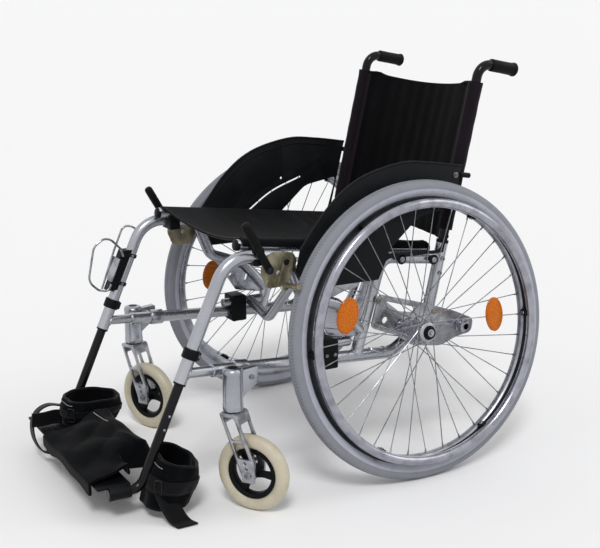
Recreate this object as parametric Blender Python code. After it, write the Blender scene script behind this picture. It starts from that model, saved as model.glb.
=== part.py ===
"""Folding manual wheelchair: side frames, scissor braces, wheels, slings and footrest.

Metres, +Z up. The chair faces -Y and +X is the sitter's left. While it is built, the rear
axle line is at y = 0 and the floor at z = 0. The last step moves the whole chair along Y, so
that the origin lies on the floor below the middle of its box.
"""

import math

import bmesh
import bpy
from mathutils import Matrix, Vector

# Clearance between pieces that touch or run in each other
GAP = 0.0003
# How deep a welded or moulded feature is sunk into what carries it
WELD = 0.001

# Rear wheels
WHEEL_R = 0.305
TYRE_SECTION_R = 0.0175
CAMBER = math.radians(6.0)
WHEEL_STANDOFF = 0.088
WHEEL_SIDES = 36
RIM_HALF_WIDTH = 0.011
RIM_DEPTH = 0.0155
RIM_WELL = 0.0025
RIM_BED_HALF = 0.004
RIM_INNER_HALF = 0.005
PUSH_RIM_INSET = 0.045
PUSH_RIM_TUBE_R = 0.0095
PUSH_RIM_OFFSET = 0.032
PUSH_RIM_TABS = 6
TAB_WIDTH = 0.014
TAB_SUNK = 0.003
HUB_INNER = 0.046
HUB_OUTER = 0.028
HUB_R = 0.0155
FLANGE_R = 0.024
FLANGE_INNER = 0.034
FLANGE_OUTER = 0.016
FLANGE_THICK = 0.007
SPOKE_HOLE_INSET = 0.0025
SPOKES = 36
SPOKE_CROSSES = 3
SPOKE_R = 0.0011
SPOKE_SIDES = 3
HUB_SIDES = 12
PUSH_RIM_PHASE = math.radians(28.6)
SPOKE_SPREAD = 0.0025
AXLE_R = 0.00635
AXLE_PROUD = 0.0024
AXLE_CAP_R = 0.0115
AXLE_CAP_LENGTH = 0.006
BUTTON_R = 0.004
BUTTON_TRAVEL = 0.003
BUTTON_DEPTH = 0.014
BUTTON_EDGE = 0.001
REFLECTOR_HALF_HEIGHT = 0.036
REFLECTOR_HALF_WIDTH = 0.023
REFLECTOR_FROM_HUB = 0.183
REFLECTOR_THICK = 0.005
REFLECTOR_EDGE = 0.001
REFLECTOR_ANGLES = (math.radians(3.0), math.radians(162.5))

# Casters
CASTER_R = 0.076
CASTER_TYRE_R = 0.0135
CASTER_SIDES = 24
CASTER_RIM_DEPTH = 0.009
CASTER_RIM_HALF = 0.009
CASTER_RIM_CROWN = 0.002
CASTER_HUB_R = 0.012
CASTER_HUB_HALF = 0.016
CASTER_SPOKES = 3
CASTER_SPOKE_WIDTH = 0.014
CASTER_SPOKE_HALF = 0.006
CASTER_AXLE_R = 0.004
CASTER_HEAD_R = 0.007
CASTER_HEAD = 0.0035
CASTER_TRAIL = 0.0435
CASTER_YAW_LEFT = math.radians(33.7)
CASTER_YAW_RIGHT = math.radians(23.0)
SWIVEL_STANDOFF = 0.044
SWIVEL_Y = -0.402
HOUSING_R = 0.020
HOUSING_BOTTOM = 0.194
HOUSING_TOP = 0.279
HOUSING_CHAMFER = 0.002
HOUSING_CAP = 0.005
HOUSING_WALL = 0.004
CLAMP_BEHIND = (0.023, 0.051)
CLAMP_RISE = 0.013
CLAMP_OVERHANG = 0.008
WEB_HALF = 0.0085
WEB_BEHIND = (0.007, 0.037)
WEB_INSET = 0.008
CLAMP_BOLT_R = 0.003
CLAMP_BOLT_RISE = 0.028
STEM_R = 0.006
STEM_LENGTH = 0.050
FORK_PLATE = 0.005
FORK_CROWN = 0.020
FORK_NECK_R = 0.013
FORK_CLEAR = 0.001
FORK_TOP_HALF = 0.019
FORK_SHOULDER = (0.030, 0.012)
FORK_LEG_FRONT = 0.014
FORK_LEG_REAR = 0.013
FORK_LEG_TOP = 0.026
FORK_FOOT = (0.008, 0.014)
FORK_THROAT = (0.010, 0.045)
FORK_LEG_LEAN = 0.30
FORK_HOLES = (0.0, 0.013, 0.024)
FORK_ARCH = (0.012, 0.008)
FORK_ARCH_SIDE = (0.020, 0.010)
FORK_ARCH_FOOT = (0.012, 0.027, 0.066)
FORK_WINDOW_TOP = (0.014, 0.030, 0.059)
FORK_WINDOW_FOOT = (0.027, 0.042, 0.034)

# Side frames
FRAME_X = 0.208
TUBE_R = 0.0125
STUB_R = 0.010
SIDES = 10
RAIL_Y = -0.340
RAIL_Z = 0.477
RAIL_SLOPE = -0.12
LEG_END = (-0.491, 0.250)
LEG_LEAN = 0.4444
LEG_BEND = 0.065
LOWER_FRONT = (-0.467, 0.2655)
LOWER_REAR = (-0.012, 0.2355)
STUB_LENGTH = 0.045
RAIL_REAR = -0.262
DIP_LOW = (-0.228, 0.386)
DIP_BACK = (-0.145, 0.356)
DIP_END = (-0.085, 0.290)
DIP_BEND = 0.030
LOWER_BEND = 0.060
UPRIGHT_FOOT = -0.100
UPRIGHT_HEAD = -0.0405
UPRIGHT_BEND = 0.030
BACK_Y = 0.108
BACK_Z = 0.438
BACK_LEAN = 0.225
BACK_FOOT_Z = 0.292
BACK_TOP_Z = 0.458
GUSSET_THICK = 0.004
GUSSET_INSET = 0.004
GUSSET_FOOT = ((-0.100, 0.283), (-0.165, 0.296))
GUSSET_HOLE = (-0.180, 0.336)
GUSSET_HOLE_R = 0.005
GUSSET_SLOT = ((-0.140, 0.318), (-0.134, 0.338))
GUSSET_SLOT_HALF = 0.0025

# Back canes and push handles
CANE_R = 0.0100
CANE_SOCKET = 0.030
HANDLE_BEND_Z = 0.8234
HANDLE_BEND = 0.030
HANDLE_RUN = 0.0883
HANDLE_DROP = 0.186
GRIP_R = 0.0150
GRIP_TIP_R = 0.0168
GRIP_LENGTH = 0.062
GRIP_WALL = 0.004
GRIP_EDGE = 0.003
GRIP_BEAD = 0.008

# Braces and seat tubes
PIVOT_INSET = 0.012
PIVOT_Z = 0.271
PIVOT_R = 0.010
PIVOT_FRONT = -0.205
PIVOT_REAR = -0.109
BRACE_R = 0.011
BRACE_KNEE = (0.100, 0.250)
BRACE_CROSS_Z = 0.345
BRACE_ELBOW = (0.120, 0.410)
BRACE_BEND = 0.030
BRACE_CROSS_BEND = 0.080
BRACE_A_Y = -0.112
BRACE_SPACING = 0.0245
BRACE_END_INSET = 0.0015
BOLT_R = 0.005
BOLT_HEAD_R = 0.009
BOLT_HEAD = 0.004
SEAT_TUBE_R = 0.011
SEAT_INSET = 0.018
SEAT_RISE = 0.018
SEAT_FRONT = -0.365
SEAT_REAR = 0.088
BEARING_FRONT = -0.187
BEARING_REAR = -0.150
BEARING_WALL = 0.006
BEARING_LIP = 0.0042
BEARING_EDGE = 0.003
SADDLE_FRONT = -0.338
SADDLE_REAR = -0.314
SADDLE_LIP = 0.0004
SADDLE_WALL = 0.004
SADDLE_EDGE = 0.002
SADDLE_DROP = 0.001

# Footrest
FOOT_TUBE_R = 0.0095
FOOT_INSERT = 0.090
FOOT_TRAVEL = 0.050
FOOT_LEVEL = 0.056
FOOT_BEND = 0.030
FOOT_FRONT = -0.642
CLAMP_RING_Z = 0.303
CLAMP_RING_LENGTH = 0.020
CLAMP_RING_WALL = 0.0035
PLATE_FRONT = -0.662
PLATE_REAR = -0.5965
PLATE_THICK = 0.006
PLATE_EDGE = 0.0015
PLATE_OVERHANG = 0.016
SLEEVE_WALL = 0.0035
CUFF_THICK = 0.007
CUFF_BULGE = 0.004
CUFF_SEAT = 0.0006
LEFT_CUFF_LOW = 0.022
LEFT_CUFF_HEIGHT = 0.090
LEFT_CUFF_HALF_X = 0.050
LEFT_CUFF_HALF_Y = 0.044
RIGHT_CUFF_HEIGHT = 0.062
RIGHT_CUFF_HALF_X = 0.046
RIGHT_CUFF_HALF_Y = 0.060
RIGHT_CUFF_Y = -0.556
RIGHT_CUFF_LEAN = 0.2
STRAP_WIDTH = 0.040
STRAP_THICK = 0.004
TAIL_WIDTH = 0.032
TAIL_LINE = ((0.256, -0.515, 0.058), (0.268, -0.514, 0.034), (0.276, -0.511, 0.012), (0.290, -0.500, 0.0035),
             (0.320, -0.480, 0.0030))
TAIL_ACROSS = (0.5, -0.87, 0.0)
FRONT_STRAP = ((-0.612, 0.020), (-0.640, 0.014), (-0.664, 0.006), (-0.672, -0.010), (-0.672, -0.032))

# Axle plates
AXLE_PLATE_THICK = 0.005
AXLE_PLATE_OUTLINE = ((-0.056, 0.067), (0.062, 0.032), (0.141, 0.004), (0.188, -0.018), (0.183, -0.047),
                      (0.143, -0.052), (0.104, -0.066), (0.031, -0.055), (-0.012, -0.026), (-0.074, -0.002))
AXLE_PLATE_WINDOW = ((-0.039, 0.050), (0.037, 0.027), (0.029, 0.017), (-0.006, 0.024))
AXLE_PLATE_HOLE = (-0.040, 0.010)
AXLE_PLATE_HOLE_R = 0.007
AXLE_PLATE_BOLTS = ((-0.058, 0.055), (-0.062, 0.004), (0.083, 0.013), (0.078, -0.044))
PLATE_BOLT_R = 0.006
PLATE_BOLT_HEAD = 0.004
RECEIVER_R = 0.0135
NUT_R = 0.0170
NUT_LENGTH = 0.010
SPARE_SOCKET = (0.152, -0.026)
SPARE_SOCKET_LENGTH = 0.022

# Side guards
GUARD_THICK = 0.003
GUARD_STANDOFF = 0.008
GUARD_EDGE = ((-0.176, 0.565), (-0.108, 0.612), (-0.014, 0.635), (0.059, 0.631), (0.140, 0.619))
GUARD_BASE = ((0.098, 0.426), (-0.040, 0.430), (-0.062, 0.402))
GUARD_FROM_SHOE_PIVOT = ((0.050, -0.060), (0.020, -0.022), (0.029, 0.021))
GUARD_SLOT = ((-0.137, 0.460), (-0.061, 0.512), (0.020, 0.543))
GUARD_SLOT_HALF = 0.0022
GUARD_CUTOUT = ((-0.045, 0.453), (0.033, 0.521), (0.119, 0.536), (0.092, 0.446))
GUARD_HOLES = ((-0.168, 0.470), (-0.158, 0.476), (-0.032, 0.543))
GUARD_HOLE_R = 0.003
GUARD_BOSS_R = 0.007
GUARD_BOSSES = (-0.005, 0.075)

# Brakes
BRAKE_PLATE = 0.004
BRAKE_OUTLINE = ((-0.0475, 0.007), (-0.029, 0.022), (0.017, 0.017), (0.026, -0.001), (0.004, -0.048),
                 (-0.040, -0.049), (-0.054, -0.017))
LEVER_FROM_SHOE_PIVOT = (-0.037, -0.012)
LEVER_THICK = 0.004
LEVER_HALF_WIDTH = 0.0075
LEVER_BAR = 0.046
LEVER_GRIP_R = 0.0088
LEVER_GRIP = 0.066
LEVER_LEAN = math.radians(30.0)
LEVER_OVERLAP = 0.006
LEVER_TIP = 0.005
LEVER_COLLAR = 0.004
SHOE_PIVOT_FROM_SHOE = (0.0127, 0.035)
SHOE_ARM_THICK = 0.003
SHOE_ARM_HALF_WIDTH = 0.0065
SHOE_R = 0.0055
SHOE_HEIGHT = 0.427
SHOE_CLEAR = 0.0006
STUD_R = 0.004
STUD_HEAD_R = 0.0065
STUD_HEAD = 0.0015

# Slings
SEAT_SAG = 0.022
SLING_THICK = 0.004
SEAT_SLING_FRONT = -0.352
SEAT_SLING_REAR = 0.082
SEAT_SLING_COLUMNS = 10
SEAT_SLING_ROWS = 5
WRAP_STEPS = 3
WRAP_FROM = math.radians(2.0)
BACK_SLING_TOP = 0.785
BACK_SLING_SLEEVE = 0.602
BACK_SLING_BOTTOM = 0.472
BACK_SLING_WALL = 0.0038
BACK_SLING_THICK = 0.008
BACK_SLING_INSET = 0.020
BACK_SAG = 0.028
BACK_TOP_SAG = 0.016
PLEATS = 5
PLEAT_DEPTH = 0.003
BACK_COLUMNS = 20

# Accessory rack on the right front tube
WIRE_R = 0.0022
RACK_WIRE_X = 0.020
RACK_TALL = ((-0.4815, 0.333), (-0.450, 0.4165), (-0.427, 0.4695), (-0.408, 0.466), (-0.392, 0.4545))
RACK_SHORT = ((-0.474, 0.352), (-0.481, 0.3365), (-0.503, 0.3415), (-0.525, 0.3625), (-0.510, 0.4375),
              (-0.487, 0.4535), (-0.471, 0.4495), (-0.449, 0.4265), (-0.444, 0.410))
RACK_BEND = 0.004
RACK_TONGUE_LOW = 0.343
RACK_TONGUE_HIGH = 0.415
RACK_TONGUE_THICK = 0.012
RACK_TONGUE_HALF = 0.024
RACK_CLAMP_LOW = 0.335
RACK_CLAMP_HIGH = 0.420
RACK_CLAMP_WALL = 0.004

# How far a drill or a cutter runs past what it cuts
CUT_PAST = 0.02

# Distances across the chair that follow the side frames
WHEEL_PLANE_X = FRAME_X + WHEEL_STANDOFF
SWIVEL_X = FRAME_X + SWIVEL_STANDOFF
PIVOT_X = FRAME_X - PIVOT_INSET
SEAT_X = FRAME_X - SEAT_INSET
PUSH_RIM_R = WHEEL_R - PUSH_RIM_INSET


# Scene and materials

def clear_scene():
    """Remove the objects that a new file starts with."""
    for found in list(bpy.data.objects):
        bpy.data.objects.remove(found, do_unlink=True)


def linear(hexcode):
    """Turn an sRGB hex colour into the linear values that a shader takes."""
    values = [int(hexcode[i:i + 2], 16) / 255.0 for i in (0, 2, 4)]
    return [v / 12.92 if v <= 0.04045 else ((v + 0.055) / 1.055) ** 2.4 for v in values]


def material(name, hexcode, roughness, metallic=0.0):
    """A plain Principled material with one colour."""
    made = bpy.data.materials.new(name)
    made.use_nodes = True
    shader = made.node_tree.nodes["Principled BSDF"]
    shader.inputs["Base Color"].default_value = (*linear(hexcode), 1.0)
    shader.inputs["Roughness"].default_value = roughness
    shader.inputs["Metallic"].default_value = metallic
    return made


def make_materials():
    """Every finish on the chair, by name."""
    return {
        "silver": material("silver_lacquer", "B9BCC0", 0.35, 0.6),
        "black_tube": material("black_lacquer", "141416", 0.30, 0.1),
        "alloy": material("bare_alloy", "C4C6C8", 0.28, 1.0),
        "steel": material("zinc_plated_steel", "9C9A90", 0.40, 1.0),
        "chrome": material("chromed_wire", "D8DADC", 0.12, 1.0),
        "plastic": material("black_plastic", "17181A", 0.45),
        "grip": material("black_grip_rubber", "121213", 0.60),
        "grey_tyre": material("grey_tyre_rubber", "8B8B93", 0.75),
        "cream_tyre": material("cream_polyurethane", "C9C2AE", 0.60),
        "nylon": material("black_nylon", "15161B", 0.85),
        "webbing": material("black_webbing", "101114", 0.80),
        "orange": material("orange_reflector", "E07A10", 0.15),
    }


# Points, paths and bodies of revolution

def side_point(side, y, z, x=FRAME_X):
    """A point on the left (side 1) or the right (side -1) of the chair."""
    return Vector((side * x, y, z))


def rounded(points, bends, steps=4):
    """Path through the points whose inner corners are arcs of the given radii."""
    path = [points[0]]
    for before, corner, after, bend in zip(points, points[1:], points[2:], bends):
        inward = (before - corner).normalized()
        outward = (after - corner).normalized()
        half = inward.angle(outward) / 2.0
        reach = bend / math.tan(half)
        centre = corner + (inward + outward).normalized() * (bend / math.sin(half))
        start = corner + inward * reach - centre
        end = corner + outward * reach - centre
        for step in range(steps + 1):
            path.append(centre + start.normalized().slerp(end.normalized(), step / steps) * bend)
    path.append(points[-1])
    return path


def line_crossing(point_a, slope_a, point_b, slope_b):
    """Where two lines y(z) meet, each given by a (y, z) point and dy/dz."""
    (ya, za), (yb, zb) = point_a, point_b
    z = (yb - ya + slope_a * za - slope_b * zb) / (slope_a - slope_b)
    return (ya + slope_a * (z - za), z)


def bridge(bm, rings, closed=False):
    """Join rings of as many vertices with quads."""
    pairs = list(zip(rings, rings[1:]))
    if closed:
        pairs.append((rings[-1], rings[0]))
    for first, second in pairs:
        count = len(first)
        for i in range(count):
            j = (i + 1) % count
            bm.faces.new((first[i], first[j], second[j], second[i]))


def finished(bm):
    """Point the faces outwards and return the mesh data."""
    bmesh.ops.recalc_face_normals(bm, faces=bm.faces)
    return bm


def sweep(path, radius, sides=SIDES, radii=None, flat=1.0, closed=False):
    """A round bar along a path, or a closed ring of bar; flat squeezes it along its side."""
    count = len(path)
    tangents = []
    for i in range(count):
        before = path[i - 1] if (i or closed) else path[0]
        after = path[(i + 1) % count] if (i < count - 1 or closed) else path[-1]
        tangents.append((after - before).normalized())
    first = tangents[0]
    guide = Vector((1, 0, 0)) if abs(first.x) < 0.9 else Vector((0, 1, 0))
    normal = (guide - first * guide.dot(first)).normalized()
    bm = bmesh.new()
    rings = []
    for i, (point, tangent) in enumerate(zip(path, tangents)):
        normal = (normal - tangent * normal.dot(tangent)).normalized()
        side = tangent.cross(normal)
        size = radii[i] if radii else radius
        ring = []
        for k in range(sides):
            angle = 2.0 * math.pi * (k + 0.5) / sides
            offset = normal * math.cos(angle) * size + side * math.sin(angle) * size * flat
            ring.append(bm.verts.new(point + offset))
        rings.append(ring)
    bridge(bm, rings, closed)
    if not closed:
        bm.faces.new(rings[0])
        bm.faces.new(rings[-1])
    return finished(bm)


def bar(start, end, radius, sides=SIDES):
    """A straight round bar between two points."""
    return sweep([Vector(start), Vector(end)], radius, sides)


def turned(profile, sides, axis_origin=Vector((0, 0, 0)), phase=0.5):
    """Turn a profile of (along, radius) about X; it starts and ends on the axis."""
    bm = bmesh.new()
    rings = []
    for along, radius in profile:
        if radius <= 0.0:
            rings.append([bm.verts.new((along, 0.0, 0.0))])
            continue
        ring = []
        for k in range(sides):
            angle = 2.0 * math.pi * (k + phase) / sides
            ring.append(bm.verts.new((along, radius * math.cos(angle), radius * math.sin(angle))))
        rings.append(ring)
    for first, second in zip(rings, rings[1:]):
        for i in range(sides):
            j = (i + 1) % sides
            if len(first) == 1:
                bm.faces.new((first[0], second[i], second[j]))
            elif len(second) == 1:
                bm.faces.new((first[i], first[j], second[0]))
            else:
                bm.faces.new((first[i], first[j], second[j], second[i]))
    bmesh.ops.translate(bm, verts=bm.verts, vec=axis_origin)
    return finished(bm)


def hoop(profile, sides, phase=0.5):
    """Turn a closed profile of (along, radius) about X, such as a tyre or a rim."""
    bm = bmesh.new()
    rings = []
    for k in range(sides):
        angle = 2.0 * math.pi * (k + phase) / sides
        turn = (math.cos(angle), math.sin(angle))
        rings.append([bm.verts.new((a, r * turn[0], r * turn[1])) for a, r in profile])
    bridge(bm, rings, closed=True)
    return finished(bm)


def circle_profile(centre_r, section_r, count, along=0.0):
    """The round section of a hoop, as (along, radius) points."""
    points = []
    for k in range(count):
        angle = 2.0 * math.pi * k / count
        points.append((along + section_r * math.sin(angle), centre_r - section_r * math.cos(angle)))
    return points


def slab(outline, low_x, high_x):
    """A plate across X whose outline is a list of (y, z) points."""
    bm = bmesh.new()
    rings = []
    for x in (low_x, high_x):
        rings.append([bm.verts.new((x, y, z)) for y, z in outline])
    bridge(bm, rings)
    bm.faces.new(rings[0])
    bm.faces.new(rings[1])
    return finished(bm)


def block(low, high, bevel=0.0):
    """A box between two corners, with broken edges where bevel is given."""
    low, high = Vector(low), Vector(high)
    bm = bmesh.new()
    bmesh.ops.create_cube(bm, size=1.0)
    for vert in bm.verts:
        vert.co = Vector(((low[i] + high[i]) / 2.0 + vert.co[i] * (high[i] - low[i]) for i in range(3)))
    if bevel > 0.0:
        bmesh.ops.bevel(bm, geom=bm.edges[:], offset=bevel, segments=1, affect="EDGES")
    return finished(bm)


def mirrored(bm, side):
    """The shape as it is on the left, or its mirror image for the right."""
    if side < 0:
        bmesh.ops.scale(bm, verts=bm.verts, vec=(-1.0, 1.0, 1.0))
    return finished(bm)


def moved(bm, matrix):
    """The shape after a rigid move."""
    bmesh.ops.transform(bm, matrix=matrix, verts=bm.verts)
    return bm


def gathered(shapes):
    """Several shapes that don't touch, as one set of faces."""
    whole = bmesh.new()
    for shape in shapes:
        mesh = bpy.data.meshes.new("gathering")
        shape.to_mesh(mesh)
        shape.free()
        whole.from_mesh(mesh)
        bpy.data.meshes.remove(mesh)
    return whole


# Objects, bodies and solids

def helper_object(name, bm):
    """A hidden object that a Boolean reads."""
    mesh = bpy.data.meshes.new(name)
    bm.to_mesh(mesh)
    bm.free()
    made = bpy.data.objects.new(name, mesh)
    made.hide_render = True
    made.display_type = "WIRE"
    bpy.context.scene.collection.objects.link(made)
    return made


def combined(first, adds=(), cuts=()):
    """One solid: the first shape, joined to the adds and then cut by the cuts."""
    base = helper_object("base", first)
    helpers = [base]
    for operation, shapes in (("UNION", adds), ("DIFFERENCE", cuts)):
        for shape in shapes:
            tool = helper_object("tool", shape)
            helpers.append(tool)
            modifier = base.modifiers.new(operation.lower(), "BOOLEAN")
            modifier.operation = operation
            modifier.solver = "EXACT"
            modifier.object = tool
    bpy.context.view_layer.update()
    evaluated = base.evaluated_get(bpy.context.evaluated_depsgraph_get())
    bm = bmesh.new()
    bm.from_mesh(evaluated.to_mesh())
    evaluated.to_mesh_clear()
    for tool in helpers:
        mesh = tool.data
        bpy.data.objects.remove(tool, do_unlink=True)
        bpy.data.meshes.remove(mesh)
    bmesh.ops.remove_doubles(bm, verts=bm.verts, dist=1e-6)
    bmesh.ops.dissolve_degenerate(bm, edges=bm.edges, dist=1e-6)
    return bm


def body(name, matrix, parent=None):
    """An empty on a joint's axis, which carries the pieces that move together."""
    empty = bpy.data.objects.new(name, None)
    empty.empty_display_size = 0.03
    bpy.context.scene.collection.objects.link(empty)
    world = matrix.copy()
    if parent is not None:
        empty.parent = parent[0]
        empty.matrix_local = parent[1].inverted() @ world
    else:
        empty.matrix_world = world
    return (empty, world)


def part(name, bm, finish, owner, local=False, smooth=True):
    """Hang a finished solid on its body; the shape is in the chair's frame unless local."""
    empty, world = owner
    if not local:
        bmesh.ops.transform(bm, matrix=world.inverted(), verts=bm.verts)
    mesh = bpy.data.meshes.new(name)
    bm.to_mesh(mesh)
    bm.free()
    if smooth:
        mesh.shade_smooth()
        mesh.set_sharp_from_angle(angle=math.radians(35.0))
    made = bpy.data.objects.new(name, mesh)
    made.data.materials.append(finish)
    made.parent = empty
    bpy.context.scene.collection.objects.link(made)
    return made


# Lines that several pieces share

def rail_z(y):
    """Height of the seat line on the side frame at y."""
    return RAIL_Z + RAIL_SLOPE * (y - RAIL_Y)


def leg_y(z):
    """Where the front leg's centre line is at height z."""
    return LEG_END[0] + LEG_LEAN * (z - LEG_END[1])


def lower_z(y):
    """Height of the lower tube's centre line at y."""
    share = (y - LOWER_FRONT[0]) / (LOWER_REAR[0] - LOWER_FRONT[0])
    return LOWER_FRONT[1] + share * (LOWER_REAR[1] - LOWER_FRONT[1])


def back_y(z):
    """Where the back tube's and the cane's centre line is at height z."""
    return BACK_Y + BACK_LEAN * (z - BACK_Z)


def leg_axis():
    """Unit vector up the front leg."""
    return Vector((0.0, LEG_LEAN, 1.0)).normalized()


def seat_tube_z(y):
    """Height of the seat tube's centre line at y."""
    return rail_z(y) + SEAT_RISE


def wheel_matrix(side):
    """Place of a rear wheel: X runs outboard along the cambered axle, Y and Z are in its plane."""
    height = WHEEL_R * math.cos(math.pi / WHEEL_SIDES) * math.cos(CAMBER)
    outboard = Vector((side * math.cos(CAMBER), 0.0, math.sin(CAMBER)))
    level = Vector((0.0, side, 0.0))
    upward = outboard.cross(level)
    turn = Matrix((outboard, level, upward)).transposed().to_4x4()
    return Matrix.Translation((side * WHEEL_PLANE_X, 0.0, height)) @ turn


def axle_local(side_x):
    """How far along the axle, from the wheel's middle plane, the given |x| is."""
    return (side_x - WHEEL_PLANE_X) / math.cos(CAMBER)


def bored(radius, sides=SIDES):
    """Radius of a bore whose flats stay one gap off a round bar."""
    return (radius + GAP) / math.cos(math.pi / sides)


def aimed(bm, start, direction):
    """Turn the shape's X axis to a direction and move its origin to the start."""
    turn = Vector((1, 0, 0)).rotation_difference(Vector(direction)).to_matrix().to_4x4()
    return moved(bm, Matrix.Translation(start) @ turn)


def sleeve(start, end, inner, outer, sides=SIDES):
    """An open-ended round sleeve between two points."""
    start, end = Vector(start), Vector(end)
    length = (end - start).length
    ring = hoop([(0.0, inner), (0.0, outer), (length, outer), (length, inner)], sides)
    return aimed(ring, start, end - start)


def curve(points, steps=3):
    """Smooth line through (y, z) points."""
    line = []
    padded = [points[0], *points, points[-1]]
    for a, b, c, d in zip(padded, padded[1:], padded[2:], padded[3:]):
        for step in range(steps):
            t = step / steps
            line.append(tuple(
                0.5 * (2 * b[i] + (c[i] - a[i]) * t + (2 * a[i] - 5 * b[i] + 4 * c[i] - d[i]) * t ** 2
                       + (3 * b[i] - a[i] - 3 * c[i] + d[i]) * t ** 3) for i in (0, 1)))
    line.append(tuple(points[-1]))
    return line


def ribbon(line, half_width):
    """Outline of a band that runs along a (y, z) line."""
    left, right = [], []
    for i, (y, z) in enumerate(line):
        before, after = line[max(i - 1, 0)], line[min(i + 1, len(line) - 1)]
        run = Vector((after[0] - before[0], after[1] - before[1])).normalized() * half_width
        left.append((y - run.y, z + run.x))
        right.append((y + run.y, z - run.x))
    return left + right[::-1]


def lozenge(start, end, half_width, steps=4):
    """Outline of a bar with round ends between two (y, z) points."""
    heading = math.atan2(end[1] - start[1], end[0] - start[0])
    outline = []
    for centre, first in ((start, heading + math.pi / 2), (end, heading - math.pi / 2)):
        for step in range(steps + 1):
            angle = first + math.pi * step / steps
            outline.append((centre[0] + half_width * math.cos(angle),
                            centre[1] + half_width * math.sin(angle)))
    return outline


def shell(outer, inner):
    """Closed solid between two grids of points of the same size."""
    bm = bmesh.new()
    grids = [[[bm.verts.new(p) for p in row] for row in grid] for grid in (outer, inner)]
    for grid in grids:
        for first, second in zip(grid, grid[1:]):
            for i in range(len(first) - 1):
                bm.faces.new((first[i], first[i + 1], second[i + 1], second[i]))
    top, bottom = grids
    rims = ([row[0] for row in top], [row[0] for row in bottom]), \
           ([row[-1] for row in top], [row[-1] for row in bottom]), \
           (top[0], bottom[0]), (top[-1], bottom[-1])
    for upper, lower in rims:
        for i in range(len(upper) - 1):
            bm.faces.new((upper[i], upper[i + 1], lower[i + 1], lower[i]))
    return finished(bm)


# Side frames

def side_frame(side):
    """The welded frame of one side: leg and rail, lower tube, upright, back tube and gusset."""
    def at(y, z, x=FRAME_X):
        return side_point(side, y, z, x)

    rail_dydz = 1.0 / RAIL_SLOPE
    leg_top = line_crossing(LEG_END, LEG_LEAN, (RAIL_Y, RAIL_Z), rail_dydz)
    leg = rounded([at(*LEG_END), at(*leg_top), at(RAIL_REAR, rail_z(RAIL_REAR)), at(*DIP_LOW),
                   at(*DIP_BACK), at(*DIP_END)],
                  [LEG_BEND, DIP_BEND, DIP_BEND, DIP_BEND])
    stub_start = leg_y(LOWER_FRONT[1])
    stub_end = LOWER_FRONT[0] + STUB_LENGTH
    step_y = stub_end + WELD
    back_foot = at(back_y(BACK_FOOT_Z), BACK_FOOT_Z)
    main = rounded([at(step_y, lower_z(step_y)), at(*LOWER_REAR), back_foot], [LOWER_BEND])
    lower = [at(stub_start, lower_z(stub_start)), at(stub_end, lower_z(stub_end))] + main
    radii = [STUB_R, STUB_R] + [TUBE_R] * len(main)
    head_z = rail_z(UPRIGHT_HEAD)
    upright = rounded([at(UPRIGHT_FOOT, lower_z(UPRIGHT_FOOT)), at(UPRIGHT_HEAD, head_z),
                       at(back_y(rail_z(BACK_Y)), rail_z(BACK_Y))], [UPRIGHT_BEND])
    back_top = at(back_y(BACK_TOP_Z), BACK_TOP_Z)
    half = GUSSET_THICK / 2.0
    corner = (DIP_LOW[0] + GUSSET_INSET, DIP_LOW[1] - GUSSET_INSET)
    gusset = slab([corner, DIP_BACK, DIP_END, *GUSSET_FOOT], side * FRAME_X - half, side * FRAME_X + half)
    foot_axis = leg_axis()
    foot_end = at(*LEG_END)
    bore_end = foot_end + foot_axis * (FOOT_INSERT + FOOT_TRAVEL + CUT_PAST)
    back_axis = (back_top - back_foot).normalized()
    holes = [
        bar(foot_end - foot_axis * CUT_PAST, bore_end, bored(FOOT_TUBE_R)),
        bar(back_top - back_axis * CANE_SOCKET, back_top + back_axis * CUT_PAST, bored(CANE_R)),
        bar(at(*GUSSET_HOLE, FRAME_X - CUT_PAST), at(*GUSSET_HOLE, FRAME_X + CUT_PAST), GUSSET_HOLE_R),
        slab(lozenge(*GUSSET_SLOT, GUSSET_SLOT_HALF), side * FRAME_X - CUT_PAST,
             side * FRAME_X + CUT_PAST),
    ]
    return combined(sweep(leg, TUBE_R), [sweep(lower, TUBE_R, radii=radii), sweep(upright, TUBE_R),
                                         bar(back_foot, back_top, TUBE_R), gusset], holes)


def back_cane(side):
    """The push-handle tube, from its socket up and round to the end of the handle."""
    bottom_z = BACK_TOP_Z - (CANE_SOCKET - GAP) / math.sqrt(1.0 + BACK_LEAN ** 2)
    corner = side_point(side, back_y(HANDLE_BEND_Z), HANDLE_BEND_Z)
    end = side_point(side, corner.y + HANDLE_RUN, HANDLE_BEND_Z - HANDLE_DROP * HANDLE_RUN)
    path = rounded([side_point(side, back_y(bottom_z), bottom_z), corner, end], [HANDLE_BEND], 5)
    return sweep(path, CANE_R), corner, end


def hand_grip(corner, end):
    """The rubber grip, closed at the back, over the end of the handle."""
    run = (end - corner).normalized()
    bore = bored(CANE_R, 12)
    depth = GRIP_LENGTH - GRIP_WALL
    bead = GRIP_LENGTH - GRIP_BEAD
    profile = [(GRIP_LENGTH, 0.0), (GRIP_LENGTH, GRIP_TIP_R - GRIP_EDGE),
               (GRIP_LENGTH - GRIP_EDGE, GRIP_TIP_R), (bead, GRIP_TIP_R),
               (bead - GRIP_EDGE, GRIP_R), (GRIP_EDGE, GRIP_R),
               (0.0, GRIP_R - WELD), (0.0, bore), (depth, bore), (depth, 0.0)]
    start = end + run * GAP - run * depth
    return aimed(turned(profile, 12), start, run)


def clamp_ring(side):
    """The black collar on the front tube, above where the foot tube comes out."""
    middle = side_point(side, leg_y(CLAMP_RING_Z), CLAMP_RING_Z)
    reach = leg_axis() * (CLAMP_RING_LENGTH / 2.0)
    return sleeve(middle - reach, middle + reach, bored(TUBE_R, 12), TUBE_R + GAP + CLAMP_RING_WALL, 12)


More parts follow.
